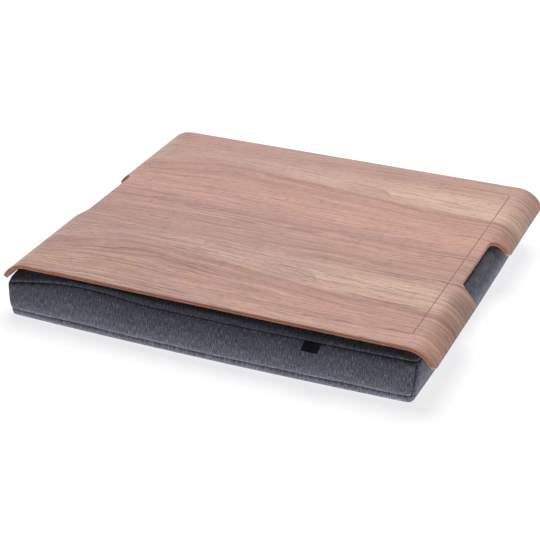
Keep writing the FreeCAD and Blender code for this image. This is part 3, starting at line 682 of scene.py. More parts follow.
@dataclass(frozen=True)
class Cloth(Finish):
    """A woven cloth of melange yarn, read from the piece's own map in metres.

    The eye sees short light and dark flecks that run with the warp, and close by the crossings of
    the threads. Both are drawn about twice as coarse as the real yarn, so that they show.
    """

    dark: str = "#393942"
    middle: str = "#5A5B66"
    light: str = "#898A96"
    fleck: tuple[float, float] = (1.1, 6.0)
    long_share: float = 0.64
    thread: float = 0.8
    weave: float = 0.22
    contrast: float = 1.0

    def pattern(self, tree: bpy.types.NodeTree) -> dict[str, bpy.types.Node]:
        """Draws the yarn's flecks and the crossings of the threads.

        Args:
            tree: the material's node tree.

        Returns:
            The nodes that feed the shader, by the name of its socket.
        """
        add = partial(add_node, tree)
        sheet = add("UVMap", uv_map="cloth")
        mm = add("Mapping", {"Vector": sheet, "Scale": (1000,) * 3})
        width, length = self.fleck
        long_flecks = self.stretched(tree, mm, (width, length, 1), detail=2.0, roughness=0.65)
        short = (width * 0.55, length * 0.3, 1)
        short_flecks = self.stretched(tree, mm, short, detail=1.0, roughness=0.5)
        patches = self.stretched(tree, mm, (34, 22, 1), detail=2.0)
        flecks = add("Math", {0: long_flecks, 1: self.long_share}, operation="MULTIPLY")
        flecks = add(
            "Math", {0: short_flecks, 1: 1 - self.long_share, 2: flecks}, operation="MULTIPLY_ADD"
        )
        half = 0.19 / self.contrast
        stops = ((0.5 - half, self.dark), (0.5, self.middle), (0.5 + half, self.light))
        colour = add("ValToRGB", {"Fac": flecks}, stops=stops)
        cloud = add("MapRange", {"Value": patches, 1: 0.3, 2: 0.7, 3: 0.93, 4: 1.07})
        axes = add("SeparateXYZ", {0: mm})
        waves = []
        for axis in (0, 1):
            turned = {0: axes.outputs[axis], 1: math.pi / self.thread}
            turned = add("Math", turned, operation="MULTIPLY")
            waves.append(add("Math", {0: turned}, operation="SINE"))
        weave = add("Math", dict(enumerate(waves)), operation="MULTIPLY")
        height = add("Math", {0: flecks, 1: 0.8, 2: weave}, operation="MULTIPLY_ADD")
        return {
            "Base Color": add("VectorMath", {0: colour, "Scale": cloud}, operation="SCALE"),
            "Normal": add("Bump", {"Strength": self.weave, "Distance": 0.3 * MM, "Height": height}),
        }


@dataclass(frozen=True)
class FillerLine(Finish):
    """Filler in the groove round the panel: brown as the wood to the left, darker to the right."""

    tones: tuple[str, ...] = ("#B8938A", "#AF8B80", "#95736A")
    places: tuple[float, ...] = (0.3, 0.62, 0.95)
    drift: float = 0.16

    def pattern(self, tree: bpy.types.NodeTree) -> dict[str, bpy.types.Node]:
        """Draws the filler's drift of tone and its dry, slightly broken surface.

        Args:
            tree: the material's node tree.

        Returns:
            The nodes that feed the shader, by the name of its socket.
        """
        add = partial(add_node, tree)
        mm = self.millimetres(tree)
        axes = add("SeparateXYZ", {0: mm})
        side = add("MapRange", {"Value": axes.outputs["X"], 1: -200.0, 2: 200.0})
        drift = self.stretched(tree, mm, (45, 45, 45), detail=2.0)
        drift = add("MapRange", {"Value": drift, 1: 0.3, 2: 0.7, 3: -self.drift, 4: self.drift})
        tone = add("Math", {0: side, 1: drift}, operation="ADD")
        grit = self.stretched(tree, mm, (0.6, 0.6, 0.6), detail=2.0)
        return {
            "Base Color": add("ValToRGB", {"Fac": tone}, stops=tuple(zip(self.places, self.tones))),
            "Normal": add("Bump", {"Strength": 0.15, "Distance": 0.2 * MM, "Height": grit}),
        }


@dataclass(frozen=True)
class Speckled(Finish):
    """A finish with one tone that drifts a little, and a fine grit in its bump."""

    light: str = "#808080"
    dark: str = "#606060"
    cloud: float = 12.0
    grit: float = 0.6
    bump: float = 0.15

    def pattern(self, tree: bpy.types.NodeTree) -> dict[str, bpy.types.Node]:
        """Draws the drift of tone and the grit.

        Args:
            tree: the material's node tree.

        Returns:
            The nodes that feed the shader, by the name of its socket.
        """
        mm = self.millimetres(tree)
        drift = self.stretched(tree, mm, (self.cloud,) * 3, detail=3.0, roughness=0.6)
        stops = ((0.3, self.dark), (0.7, self.light))
        grit = self.stretched(tree, mm, (self.grit,) * 3, detail=2.0)
        bump = {"Strength": self.bump, "Distance": 0.2 * MM, "Height": grit}
        return {
            "Base Color": add_node(tree, "ValToRGB", {"Fac": drift}, stops=stops),
            "Normal": add_node(tree, "Bump", bump),
        }


class Slot(Enum):
    """The record's material slots."""

    WALNUT_VENEER = "walnut_veneer"
    WALNUT_PANEL = "walnut_panel"
    PANEL_LINE = "panel_line"
    CROSS_PLY = "cross_ply"
    CENTRE_PLY = "centre_ply"
    HOOK_TAPE = "hook_tape"
    LOOP_TAPE = "loop_tape"
    COVER_FABRIC = "cover_fabric"
    SEAM_THREAD = "seam_thread"
    LINER_COTTON = "liner_cotton"
    FOAM_BEADS = "foam_beads"
    TAG_RIBBON = "tag_ribbon"
    ZIP_TAPE = "zip_tape"
    ZIP_TEETH = "zip_teeth"
    ZIP_METAL = "zip_metal"


class Workshop:
    """Makes each finish once and hands it out by its slot."""

    def __init__(self) -> None:
        """Lists the finish of every slot."""
        self.finishes: dict[Slot, Finish] = {
            Slot.WALNUT_VENEER: Walnut("walnut_veneer_satin_lacquer", roughness=0.42),
            Slot.WALNUT_PANEL: Walnut("walnut_veneer_nonslip_coat", roughness=0.55, tone=1.01),
            Slot.PANEL_LINE: FillerLine("dark_wood_filler_line", roughness=0.7),
            Slot.CROSS_PLY: PlyEdge("birch_cross_ply_edge", roughness=0.6),
            Slot.CENTRE_PLY: PlyEdge(
                "stained_centre_ply_edge",
                roughness=0.6,
                light="#A8674A",
                dark="#8A5034",
                tick="#643520",
            ),
            Slot.HOOK_TAPE: Cloth(
                "nylon_hook_tape", roughness=0.8, dark="#16171A", middle="#1E1F22", light="#2A2B2F"
            ),
            Slot.LOOP_TAPE: Cloth(
                "brushed_loop_tape",
                roughness=0.95,
                sheen=0.4,
                dark="#1B1C20",
                middle="#26272B",
                light="#35363B",
                fleck=(1.2, 1.6),
            ),
            Slot.COVER_FABRIC: Cloth(
                "melange_polyester_plain_weave",
                contrast=1.2,
                roughness=0.92,
                specular=0.2,
                sheen=0.08,
                sheen_roughness=0.45,
                sheen_tint="#AEB4C4",
            ),
            Slot.SEAM_THREAD: Speckled(
                "polyester_sewing_thread", roughness=0.9, light="#303138", dark="#24252B", cloud=1.5
            ),
            Slot.LINER_COTTON: Cloth(
                "plain_cotton_liner",
                roughness=0.95,
                dark="#D6D3CA",
                middle="#E2DFD7",
                light="#ECEAE3",
                fleck=(1.1, 3.0),
            ),
            Slot.FOAM_BEADS: Speckled(
                "expanded_foam_beads",
                roughness=0.7,
                light="#F0EFEC",
                dark="#DAD9D4",
                cloud=4.0,
                grit=3.5,
                bump=1.0,
            ),
            Slot.TAG_RIBBON: Cloth(
                "matt_woven_ribbon",
                roughness=0.95,
                specular=0.08,
                dark="#0B0C0F",
                middle="#121317",
                light="#1B1C21",
                fleck=(0.5, 2.0),
                thread=0.4,
            ),
            Slot.ZIP_TAPE: Cloth(
                "polyester_zip_tape",
                roughness=0.85,
                dark="#1A1B1F",
                middle="#232429",
                light="#303138",
                fleck=(0.5, 2.0),
                thread=0.5,
            ),
            Slot.ZIP_TEETH: Speckled(
                "moulded_zip_teeth", roughness=0.38, light="#26272B", dark="#1D1E22", cloud=6.0
            ),
            Slot.ZIP_METAL: Speckled(
                "lacquered_zinc_casting",
                roughness=0.3,
                metallic=1.0,
                light="#5A5B60",
                dark="#4A4B50",
                cloud=5.0,
                bump=0.05,
            ),
        }
        self.made: dict[Slot, bpy.types.Material] = {}

    def material(self, slot: Slot) -> bpy.types.Material:
        """Gives the material of a slot, made at its first use.

        Args:
            slot: the record's slot.

        Returns:
            The material.
        """
        if slot not in self.made:
            self.made[slot] = self.finishes[slot].make()
        return self.made[slot]

    def dress_node(self, name: str) -> None:
        """Gives a CAD node the material of the slot that the record names for it.

        Args:
            name: the node's name.
        """
        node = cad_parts[name]
        slot = Slot(node.material_slots[0].material.name.split(".")[0])
        node.material_slots[0].material = self.material(slot)
        LOG.info("node %s: %s", name, slot.value)

    def dress(self, piece: bpy.types.Object, slot: Slot) -> None:
        """Gives a new piece the material of its slot.

        Args:
            piece: the new object.
            slot: the record's slot.
        """
        piece.data.materials.clear()
        piece.data.materials.append(self.material(slot))


# ---------------------------------------------------------------- mesh helpers


def clamp(value: float) -> float:
    """Keeps a share between 0 and 1."""
    return min(1.0, max(0.0, value))


def smooth(value: float) -> float:
    """Eases a share in and out between 0 and 1.

    Args:
        value: the share, which may be past its ends.

    Returns:
        The eased share.
    """
    share = clamp(value)
    return share * share * (3 - 2 * share)


def in_scene(name: str, data: bpy.types.ID) -> bpy.types.Object:
    """Puts a new object in the scene.

    Args:
        name: the object's name.
        data: its mesh, camera or lamp.

    Returns:
        The new object.
    """
    made = bpy.data.objects.new(name, data)
    bpy.context.scene.collection.objects.link(made)
    return made


def as_mesh(name: str, shape: bmesh.types.BMesh) -> bpy.types.Mesh:
    """Turns a bmesh into a mesh and frees it.

    Args:
        name: the mesh's name.
        shape: the shape.

    Returns:
        The new mesh.
    """
    mesh = bpy.data.meshes.new(name)
    shape.to_mesh(mesh)
    shape.free()
    return mesh


def slice_through(
    shape: bmesh.types.BMesh, place: Vector, way: Vector, near: float, clear: bool = False
) -> None:
    """Cuts a shape along a plane.

    Args:
        shape: the shape.
        place: a point of the plane.
        way: the plane's direction.
        near: how close to the plane a point counts as on it.
        clear: whether the part behind the plane goes.
    """
    bmesh.ops.bisect_plane(
        shape,
        geom=shape.verts[:] + shape.edges[:] + shape.faces[:],
        dist=near,
        plane_co=place,
        plane_no=way,
        clear_inner=clear,
    )


def lay_cloth_flat(shape: bmesh.types.BMesh) -> None:
    """Gives level cloth its map in metres.

    Args:
        shape: the shape of the cloth.
    """
    cloth = shape.loops.layers.uv.new("cloth")
    for face in shape.faces:
        for loop in face.loops:
            x, y, z = loop.vert.co
            loop[cloth].uv = (x, y + z)


def finish_piece(
    name: str,
    shape: bmesh.types.BMesh,
    body: str,
    replaced: Iterable[str] = (),
    subdivision: int = 0,
    wall: float = 0.0,
) -> bpy.types.Object:
    """Turns a finished bmesh into a piece that rides on a body.

    Args:
        name: the piece's name.
        shape: the shape, which is freed.
        body: the CAD body that carries the piece.
        replaced: the CAD nodes that the piece stands for.
        subdivision: the level of the subdivision surface, or 0 for none.
        wall: the thickness that is added inwards, in metres, or 0 for none.

    Returns:
        The new object.
    """
    for face in shape.faces:
        face.smooth = True
    piece = in_scene(name, as_mesh(name, shape))
    if subdivision:
        smooth = piece.modifiers.new("Rounding", "SUBSURF")
        smooth.levels = smooth.render_levels = subdivision
    if wall:
        thick = piece.modifiers.new("Cloth thickness", "SOLIDIFY")
        thick.thickness = wall
        thick.offset = -1.0
    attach(piece, body)
    if replaced:
        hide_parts(*replaced)
    LOG.info("piece %s: %d faces on %s", name, len(piece.data.polygons), body)
    return piece


# ---------------------------------------------------------------- the board


@dataclass
class BoardSizes:
    """The bent board's section, in metres and degrees."""

    half_flat: float = 0.20202
    bend_radius: float = 0.030
    bend_angle: float = 60.0


@dataclass
class Board:
    """The bent plywood board with its inset panel and the tapes under it."""

    workshop: Workshop
    nodes: tuple[str, ...] = (
        "top_veneer",
        "core_ply_upper",
        "core_ply_middle",
        "core_ply_lower",
        "bottom_veneer",
        "panel_border",
        "antislip_panel",
    )

    def build(self) -> None:
        """Dresses the board's plies and panel."""
        for name in self.nodes:
            self.workshop.dress_node(name)


# ---------------------------------------------------------------- the cushion


class Panel(Enum):
    """The panels that the cover is sewn from."""

    TOP = 0
    BOTTOM = 1
    FRONT = 2
    BACK = 3
    RIGHT = 4
    LEFT = 5


Level = tuple[float, float, float, float, float]
ON_SIDE = 0.999  # past this a coordinate of the grid's box, from -1 to 1, lies on its side


@dataclass
class CushionForm:
    """The sewn cover's shape, in metres, with its front at -Y.

    A level holds its height, and how far it reaches to the right, left, front and back. ride_up
    holds a middle, a reach and a rise, right_climb a rise and a run, and shoulder how far it is
    drawn in, its rise, its half length and its run.
    """

    floor: Level = (0.0, 0.2055, 0.2185, 0.1890, 0.1850)
    lower_seam: Level = (0.008, 0.2105, 0.2235, 0.1940, 0.1900)
    upper_seam: Level = (0.046, 0.2140, 0.2215, 0.1935, 0.1900)
    crown: Level = (0.0536, 0.2010, 0.2015, 0.1805, 0.1770)
    crown_power: float = 1.9
    floor_power: float = 3.2
    side_bulge: float = 0.0028
    front_bulge: float = 0.0024
    corner: float = 0.007
    front_bow: float = 0.004
    side_bow: float = 0.0025
    swell: float = 0.0015
    columns: int = 88
    rows: int = 78
    courses: int = 9
    slump: tuple[float, float, float] = (-0.0035, -0.0004, -0.0092)
    slump_reach: float = 0.062
    firm_height: float = 0.014
    loose_height: float = 0.030
    ride_up: tuple[float, float, float] = (-0.128, 0.072, 0.0044)
    right_climb: tuple[float, float] = (0.0030, 0.035)
    shoulder: tuple[float, float, float, float] = (0.0075, 0.0026, 0.092, 0.026)
    front_strip: float = 0.03
    right_strip: float = 0.02
    zip_half_length: float = 0.195
    zip_bottom: float = 0.021
    zip_middle: float = 0.027
    zip_top: float = 0.033

    def shrunk(self, inset: float, clearance: float) -> "CushionForm":
        """Gives the form of a bag that lies inside this one.

        Args:
            inset: how far the bag's sides are from the cover's.
            clearance: how far its top and bottom are from the cover's.

        Returns:
            The bag's form.
        """

        def smaller(level: Level, lift: float) -> Level:
            """Draws one level in."""
            height, *reaches = level
            return (height + lift, *(reach - inset for reach in reaches))

        return replace(
            self,
            floor=smaller(self.floor, clearance),
            lower_seam=smaller(self.lower_seam, clearance),
            upper_seam=smaller(self.upper_seam, -clearance),
            crown=smaller(self.crown, -clearance),
            swell=0.0,
        )

    def eased(self, share: float) -> float:
        """Spreads the grid lines along an edge, closer together near its ends.

        Args:
            share: the even place, from -1 to 1.

        Returns:
            The spread place, from -1 to 1.
        """
        away = 1 - abs(share)
        return math.copysign(1 - away * (0.4 + 0.6 * away), share)

    def roll(self, insets: Sequence[float], near: Level, far: Level, power: float) -> Point:
        """Rolls a panel over from its seam.

        Args:
            insets: how far the point is in from the right, left, front and back seam.
            near: the level of the seam.
            far: the level at which the panel lies flat.
            power: how steeply the panel leaves the seam.

        Returns:
            The height gained so far, and the cloth that the slope still uses up from here inwards.
        """
        widths = [edge - flat for edge, flat in zip(near[1:], far[1:])]
        share, width = min((inset / width, width) for inset, width in zip(insets, widths))
        ahead = 1 - min(share, 1.0)
        rise = abs(far[0] - near[0])
        left, level = rise * ahead**power, width * ahead
        return rise - left, math.hypot(left, level) - level

    def place(self, across: float, deep: float, up: float) -> tuple[Vector, float]:
        """Puts a point of the grid on the cover before it is stuffed.

        Args:
            across: the place from -1, left, to 1, right.
            deep: the place from -1, front, to 1, back.
            up: the place from -1, the lower seam, to 1, the upper seam.

        Returns:
            The point, and the cloth that the slope uses up from there to the panel's middle.
        """
        share = (up + 1) / 2
        low, high = self.lower_seam, self.upper_seam
        height, right, left, front, back = (a + (b - a) * share for a, b in zip(low, high))
        half_width, half_depth = (right + left) / 2, (front + back) / 2
        x, y = across * half_width, deep * half_depth
        insets = (half_width - x, half_width + x, half_depth + y, half_depth - y)
        used = 0.0
        if up > ON_SIDE:
            gain, used = self.roll(insets, high, self.crown, self.crown_power)
            height += gain
        elif up < -ON_SIDE:
            gain, used = self.roll(insets, low, self.floor, self.floor_power)
            height -= gain
        core_x = max(-half_width + self.corner, min(half_width - self.corner, x))
        core_y = max(-half_depth + self.corner, min(half_depth - self.corner, y))
        out_x, out_y = x - core_x, y - core_y
        if out_x and out_y:
            reach = max(abs(out_x), abs(out_y))
            angle = math.pi / 4 * min(abs(out_x), abs(out_y)) / reach
            long_way, short_way = reach * math.cos(angle), reach * math.sin(angle)
            if abs(out_x) < abs(out_y):
                long_way, short_way = short_way, long_way
            x = core_x + math.copysign(long_way, out_x)
            y = core_y + math.copysign(short_way, out_y)
        belly = 1 - up * up
        y -= self.front_bow * (1 - (x / half_width) ** 2) * (1 - deep) / 2
        y -= self.front_bulge * belly * (1 - across**4) * max(0.0, -deep) ** 8
        x += self.side_bow * max(0.0, across) * (1 - deep * deep)
        x += math.copysign(self.side_bulge * belly * (1 - deep**4), across) * abs(across) ** 8
        return Vector((x + (right - left) / 2, y + (back - front) / 2, height)), used

    def slack(self, point: Vector) -> Vector:
        """Gives how far the slack cloth has moved from where it was sewn.

        Args:
            point: where the cloth was sewn.

        Returns:
            The move.
        """
        _, right, left, front, _ = self.upper_seam
        height = clamp((point.z - self.firm_height) / self.loose_height)
        # The front left corner slumps.
        share = clamp(1 - (point.xy - Vector((-left, -front))).length / self.slump_reach)
        move = Vector(self.slump) * share * share * height
        # The front seam rides up to the left of its middle.
        middle, reach, rise = self.ride_up
        along = clamp(1 - ((point.x - middle) / reach) ** 2)
        near_front = clamp(1 - (point.y + front) / self.front_strip)
        move.z += rise * along * along * near_front * height
        # The right side rides up, and its shoulder draws the seam in under the board's notch.
        near_right = clamp(1 - (right - point.x) / self.right_strip)
        climb, run = self.right_climb
        lift = climb * smooth((front - abs(point.y)) / run)
        draw, climb, half, run = self.shoulder
        share = smooth((half - abs(point.y)) / run)
        move.z += (lift + climb * share) * near_right * height
        move.x -= draw * share * near_right * height**4
        return move


@dataclass
class Skin:
    """A closed bag of cloth: one grid per panel, puffed up between its seams."""

    form: CushionForm
    pressure: float = 4.0
    frames: int = 20
    least_puff: float = 0.0011
    most_puff: float = 0.0024
    evening: int = 6
    lumps: tuple[Point, ...] = ((22.0, 0.0011), (60.0, 0.0003))
    back_wall: float = 0.186
    zip_strip: float = 0.010
    floor_contact: float = 0.0004
    side_shift: float = 0.7
    lowest: float = 0.0
    highest: float = 0.0542
    bag: bpy.types.Object = field(init=False)

    def build(self, simulated: bool) -> bpy.types.Object:
        """Sews the bag and stuffs it.


        Returns:
            The bag, as a plain mesh object that the caller removes.
        """
        self.bag = self.sew()
        start = [v.co.copy() for v in self.bag.data.vertices]
        puffs = [self.form.swell] * len(start)
        if simulated:
            puffs = self.evened(self.blow_up(start))
        self.settle(start, puffs)
        return self.bag

    def sew(self) -> bpy.types.Object:
        """Makes the box of cloth, with a grid of threads, a cut and a flag for its seams.

        Returns:
            The bag before it is stuffed.
        """
        form = self.form
        shape = bmesh.new()
        bmesh.ops.create_cube(shape, size=2.0)
        for axis, cuts in enumerate((form.columns, form.rows, form.courses)):
            edges = [e for e in shape.edges if abs((e.verts[0].co - e.verts[1].co)[axis]) > 1]
            bmesh.ops.subdivide_edges(shape, edges=edges, cuts=cuts - 1, use_grid_fill=True)
        panel = shape.faces.layers.int.new("panel")
        cloth = shape.loops.layers.uv.new("cloth")
        sewn = shape.verts.layers.float.new("sewn")
        grid = {v: v.co.copy() for v in shape.verts}
        used = {}
        for vert, (u, v, w) in grid.items():
            vert[sewn] = float(sum(abs(c) > ON_SIDE for c in (u, v, w)) > 1)
            vert.co, used[vert] = form.place(form.eased(u), form.eased(v), w)
        for face in shape.faces:
            which = self.panel_at([sum(grid[v][i] for v in face.verts) / 4 for i in range(3)])
            face[panel] = which.value
            for loop in face.loops:
                u, v, _ = grid[loop.vert]
                loop[cloth].uv = self.cloth_place(which, loop.vert.co, used[loop.vert], u, v)
        shape.normal_update()
        return in_scene("sewn_bag", as_mesh("sewn_bag", shape))

    def panel_at(self, middle: Sequence[float]) -> Panel:
        """Names the panel of the box that a face's middle lies on.

        Args:
            middle: the middle, each coordinate from -1 to 1.

        Returns:
            The panel.
        """
        across, deep, up = middle
        if abs(up) > ON_SIDE:
            return Panel.TOP if up > 0 else Panel.BOTTOM
        if abs(deep) > ON_SIDE:
            return Panel.BACK if deep > 0 else Panel.FRONT
        return Panel.RIGHT if across > 0 else Panel.LEFT

    def cloth_place(
        self, which: Panel, point: Vector, used: float, u: float, v: float
    ) -> tuple[float, float]:
        """Gives a point's place on the flat cut of its panel, in metres.

        Args:
            which: the panel.
            point: the point on the cover.
            used: the cloth that the slope uses up from there to the panel's middle.
            u: the place across, from -1 to 1.
            v: the depth, from -1 to 1.

        Returns:
            The place on the flat cloth.
        """
        if which in (Panel.FRONT, Panel.BACK):
            return point.x, point.z
        if which in (Panel.RIGHT, Panel.LEFT):
            return point.y + self.side_shift, point.z
        if abs(u) > abs(v):
            return point.x + math.copysign(used, point.x), point.y
        return point.x, point.y + math.copysign(used, point.y)

    def held(self, start: Sequence[Vector]) -> list[bool]:
        """Says which points stay where they are sewn: the seams, and the strip along the zip.

        Args:
            start: where each point was sewn.

        Returns:
            Whether each point stays.
        """
        sewn = self.bag.data.attributes["sewn"].data
        middle = self.form.zip_middle
        return [
            sewn[i].value > 0.5
            or (point.y > self.back_wall and abs(point.z - middle) < self.zip_strip)
            for i, point in enumerate(start)
        ]

    def blow_up(self, start: Sequence[Vector]) -> list[float]:
        """Lets a cloth simulation blow the bag up between its seams.

        Args:
            start: where each point was sewn.

        Returns:
            How far each point was pushed outwards, within what firm beads and a taut cover allow.
        """
        group = self.bag.vertex_groups.new(name="held")
        group.add([i for i, fixed in enumerate(self.held(start)) if fixed], 1.0, "REPLACE")
        cloth = self.bag.modifiers.new("Stuffing", "CLOTH")
        settings = cloth.settings
        settings.quality = 6
        settings.mass = 0.3
        settings.shrink_min = -0.012
        settings.use_pressure = True
        settings.uniform_pressure_force = self.pressure
        settings.vertex_group_mass = "held"
        settings.pin_stiffness = 1.0
        settings.effector_weights.gravity = 0.0
        cloth.collision_settings.use_collision = False
        scene = bpy.context.scene
        for step in range(1, self.frames + 1):
            scene.frame_set(step)
        grown = self.bag.evaluated_get(bpy.context.evaluated_depsgraph_get()).data
        pushed = [
            (after.co - before).dot(vert.normal)
            for after, before, vert in zip(grown.vertices, start, self.bag.data.vertices)
        ]
        self.bag.modifiers.remove(cloth)
        scene.frame_set(1)
        LOG.info("stuffing pushed the cloth %.1f to %.1f mm", min(pushed) / MM, max(pushed) / MM)
        return [
            self.form.swell if fixed else min(max(push, self.least_puff), self.most_puff)
            for push, fixed in zip(pushed, self.held(start))
        ]

    def evened(self, puffs: list[float]) -> list[float]:
        """Evens out how far the cloth is pushed, between each point and its neighbours.

        Args:
            puffs: how far each point is pushed out.

        Returns:
            The same, evened out.
        """
        for _ in range(self.evening):
            sums, counts = list(puffs), [1] * len(puffs)
            for edge in self.bag.data.edges:
                near, far = edge.vertices
                sums[near] += puffs[far]
                sums[far] += puffs[near]
                counts[near] += 1
                counts[far] += 1
            puffs = [total / count for total, count in zip(sums, counts)]
        return puffs

    def settle(self, start: Sequence[Vector], puffs: Sequence[float]) -> None:
        """Pushes the cloth out between its seams, and lets it slump, crease and lie on the floor.

        Args:
            start: where each point was sewn.
            puffs: how far each point is pushed out, where it isn't held.
        """
        vertices = self.bag.data.vertices
        normals = [v.normal.copy() for v in vertices]
        held = self.held(start)
        for vert, before, puff, fixed, normal in zip(vertices, start, puffs, held, normals):
            point = before + normal * (0.0 if fixed else puff)
            # The walls are lumpy, and the cloth lies flat on the floor and under the board.
            wall = clamp((point.z - 0.001) / 0.006) * clamp((0.0525 - point.z) / 0.004)
            if before.y < self.back_wall:
                lump = sum(noise.noise(before * often) * high for often, high in self.lumps)
                point += normal * lump * wall
            point += self.form.slack(before)
            point.z = max(self.lowest, min(point.z, self.highest))
            if before.z < self.lowest + self.floor_contact:
                point.z = self.lowest
            vert.co = point
        self.bag.data.update()

    def cut(self, which: Panel | None = None) -> bmesh.types.BMesh:
        """Copies one panel or the whole bag, with the way out of each point kept.

        Args:
            which: the panel, or None for the whole bag.

        Returns:
            The copy, which the caller frees.
        """
        shape = bmesh.new()
        shape.from_mesh(self.bag.data)
        shape.normal_update()
        outward = shape.verts.layers.float_vector.new("outward")
        for vert in shape.verts:
            vert[outward] = vert.normal
        if which is not None:
            panel = shape.faces.layers.int["panel"]
            others = [f for f in shape.faces if f[panel] != which.value]
            bmesh.ops.delete(shape, geom=others, context="FACES")
        return shape

    def seams(self) -> dict[str, list[list[tuple[Vector, Vector]]]]:
        """Traces the seams.

        Returns:
            For the top, bottom and corner seams, their lines, each a list of points with the way
            out of the cover there.
        """
        shape = self.cut()
        panel = shape.faces.layers.int["panel"]
        # Dictionaries keep the edges in order, so that each run sews the same stitches.
        edges: dict[str, dict[bmesh.types.BMEdge, None]] = {"top": {}, "bottom": {}, "corner": {}}
        for edge in shape.edges:
            sides = {face[panel] for face in edge.link_faces}
            if len(sides) > 1:
                flat = sides & {Panel.TOP.value, Panel.BOTTOM.value}
                kind = "corner" if not flat else "top" if Panel.TOP.value in flat else "bottom"
                edges[kind][edge] = None
        lines = {}
        for kind, loose in edges.items():
            lines[kind] = []
            while loose:
                verts = [v for e in loose for v in e.verts]
                ends = (v for v in verts if sum(e in loose for e in v.link_edges) == 1)
                vert = next(ends, verts[0])
                line = [(vert.co.copy(), vert.normal.copy())]
                while following := [e for e in vert.link_edges if e in loose]:
                    del loose[following[0]]
                    vert = following[0].other_vert(vert)
                    line.append((vert.co.copy(), vert.normal.copy()))
                lines[kind].append(line)
        shape.free()
        return lines


@dataclass
class Stitching:
    """Rows of short stitches, in metres."""

    workshop: Workshop
    step: float = 0.0031
    length: float = 0.0029
    width: float = 0.0007
    batch: int = 24

    def build(
        self,
        name: str,
        lines: Iterable[Sequence[tuple[Vector, Vector]]],
        sunk: float,
        replaced: Sequence[str] = (),
    ) -> None:
        """Sews stitches along lines.

        Args:
            name: the piece's name.
            lines: each a list of points with the way out of the cloth there.
            sunk: how far the stitches' middles lie under the line.
            replaced: the CAD nodes that the stitches stand for.
        """
        places = [place for line in lines for place in self.places(line, sunk)]
        shape = bmesh.new()
        batch_mesh = bpy.data.meshes.new("stitches")
        for first in range(0, len(places), self.batch):
            batch = bmesh.new()
            for place in places[first : first + self.batch]:
                bmesh.ops.create_uvsphere(
                    batch, u_segments=6, v_segments=4, radius=1.0, matrix=place
                )
            batch.to_mesh(batch_mesh)
            batch.free()
            shape.from_mesh(batch_mesh)
        bpy.data.meshes.remove(batch_mesh)
        bmesh.ops.recalc_face_normals(shape, faces=shape.faces[:])
        piece = finish_piece(name, shape, "cushion", replaced)
        self.workshop.dress(piece, Slot.SEAM_THREAD)

    def places(self, line: Sequence[tuple[Vector, Vector]], sunk: float) -> list[Matrix]:
        """Spaces stitches evenly along a line.

        Args:
            line: points with the way out of the cloth there.
            sunk: how far the stitches' middles lie under the line.

        Returns:
            For each stitch the matrix that turns a unit ball into it.
        """
        found = []
        size = Matrix.Diagonal((self.length / 2, self.width / 2, self.width / 2, 1))
        ahead = self.step / 2
        for (start, out), (end, _) in zip(line, line[1:]):
            run = (end - start).length
            if run < 1e-7:
                continue
            way = (end - start) / run
            side = way.cross(out).normalized()
            turn = Matrix((way, side, way.cross(side))).transposed().to_4x4()
            while ahead < run:
                found.append(Matrix.Translation(start + way * ahead - out * sunk) @ turn @ size)
                ahead += self.step
            ahead -= run
        return found


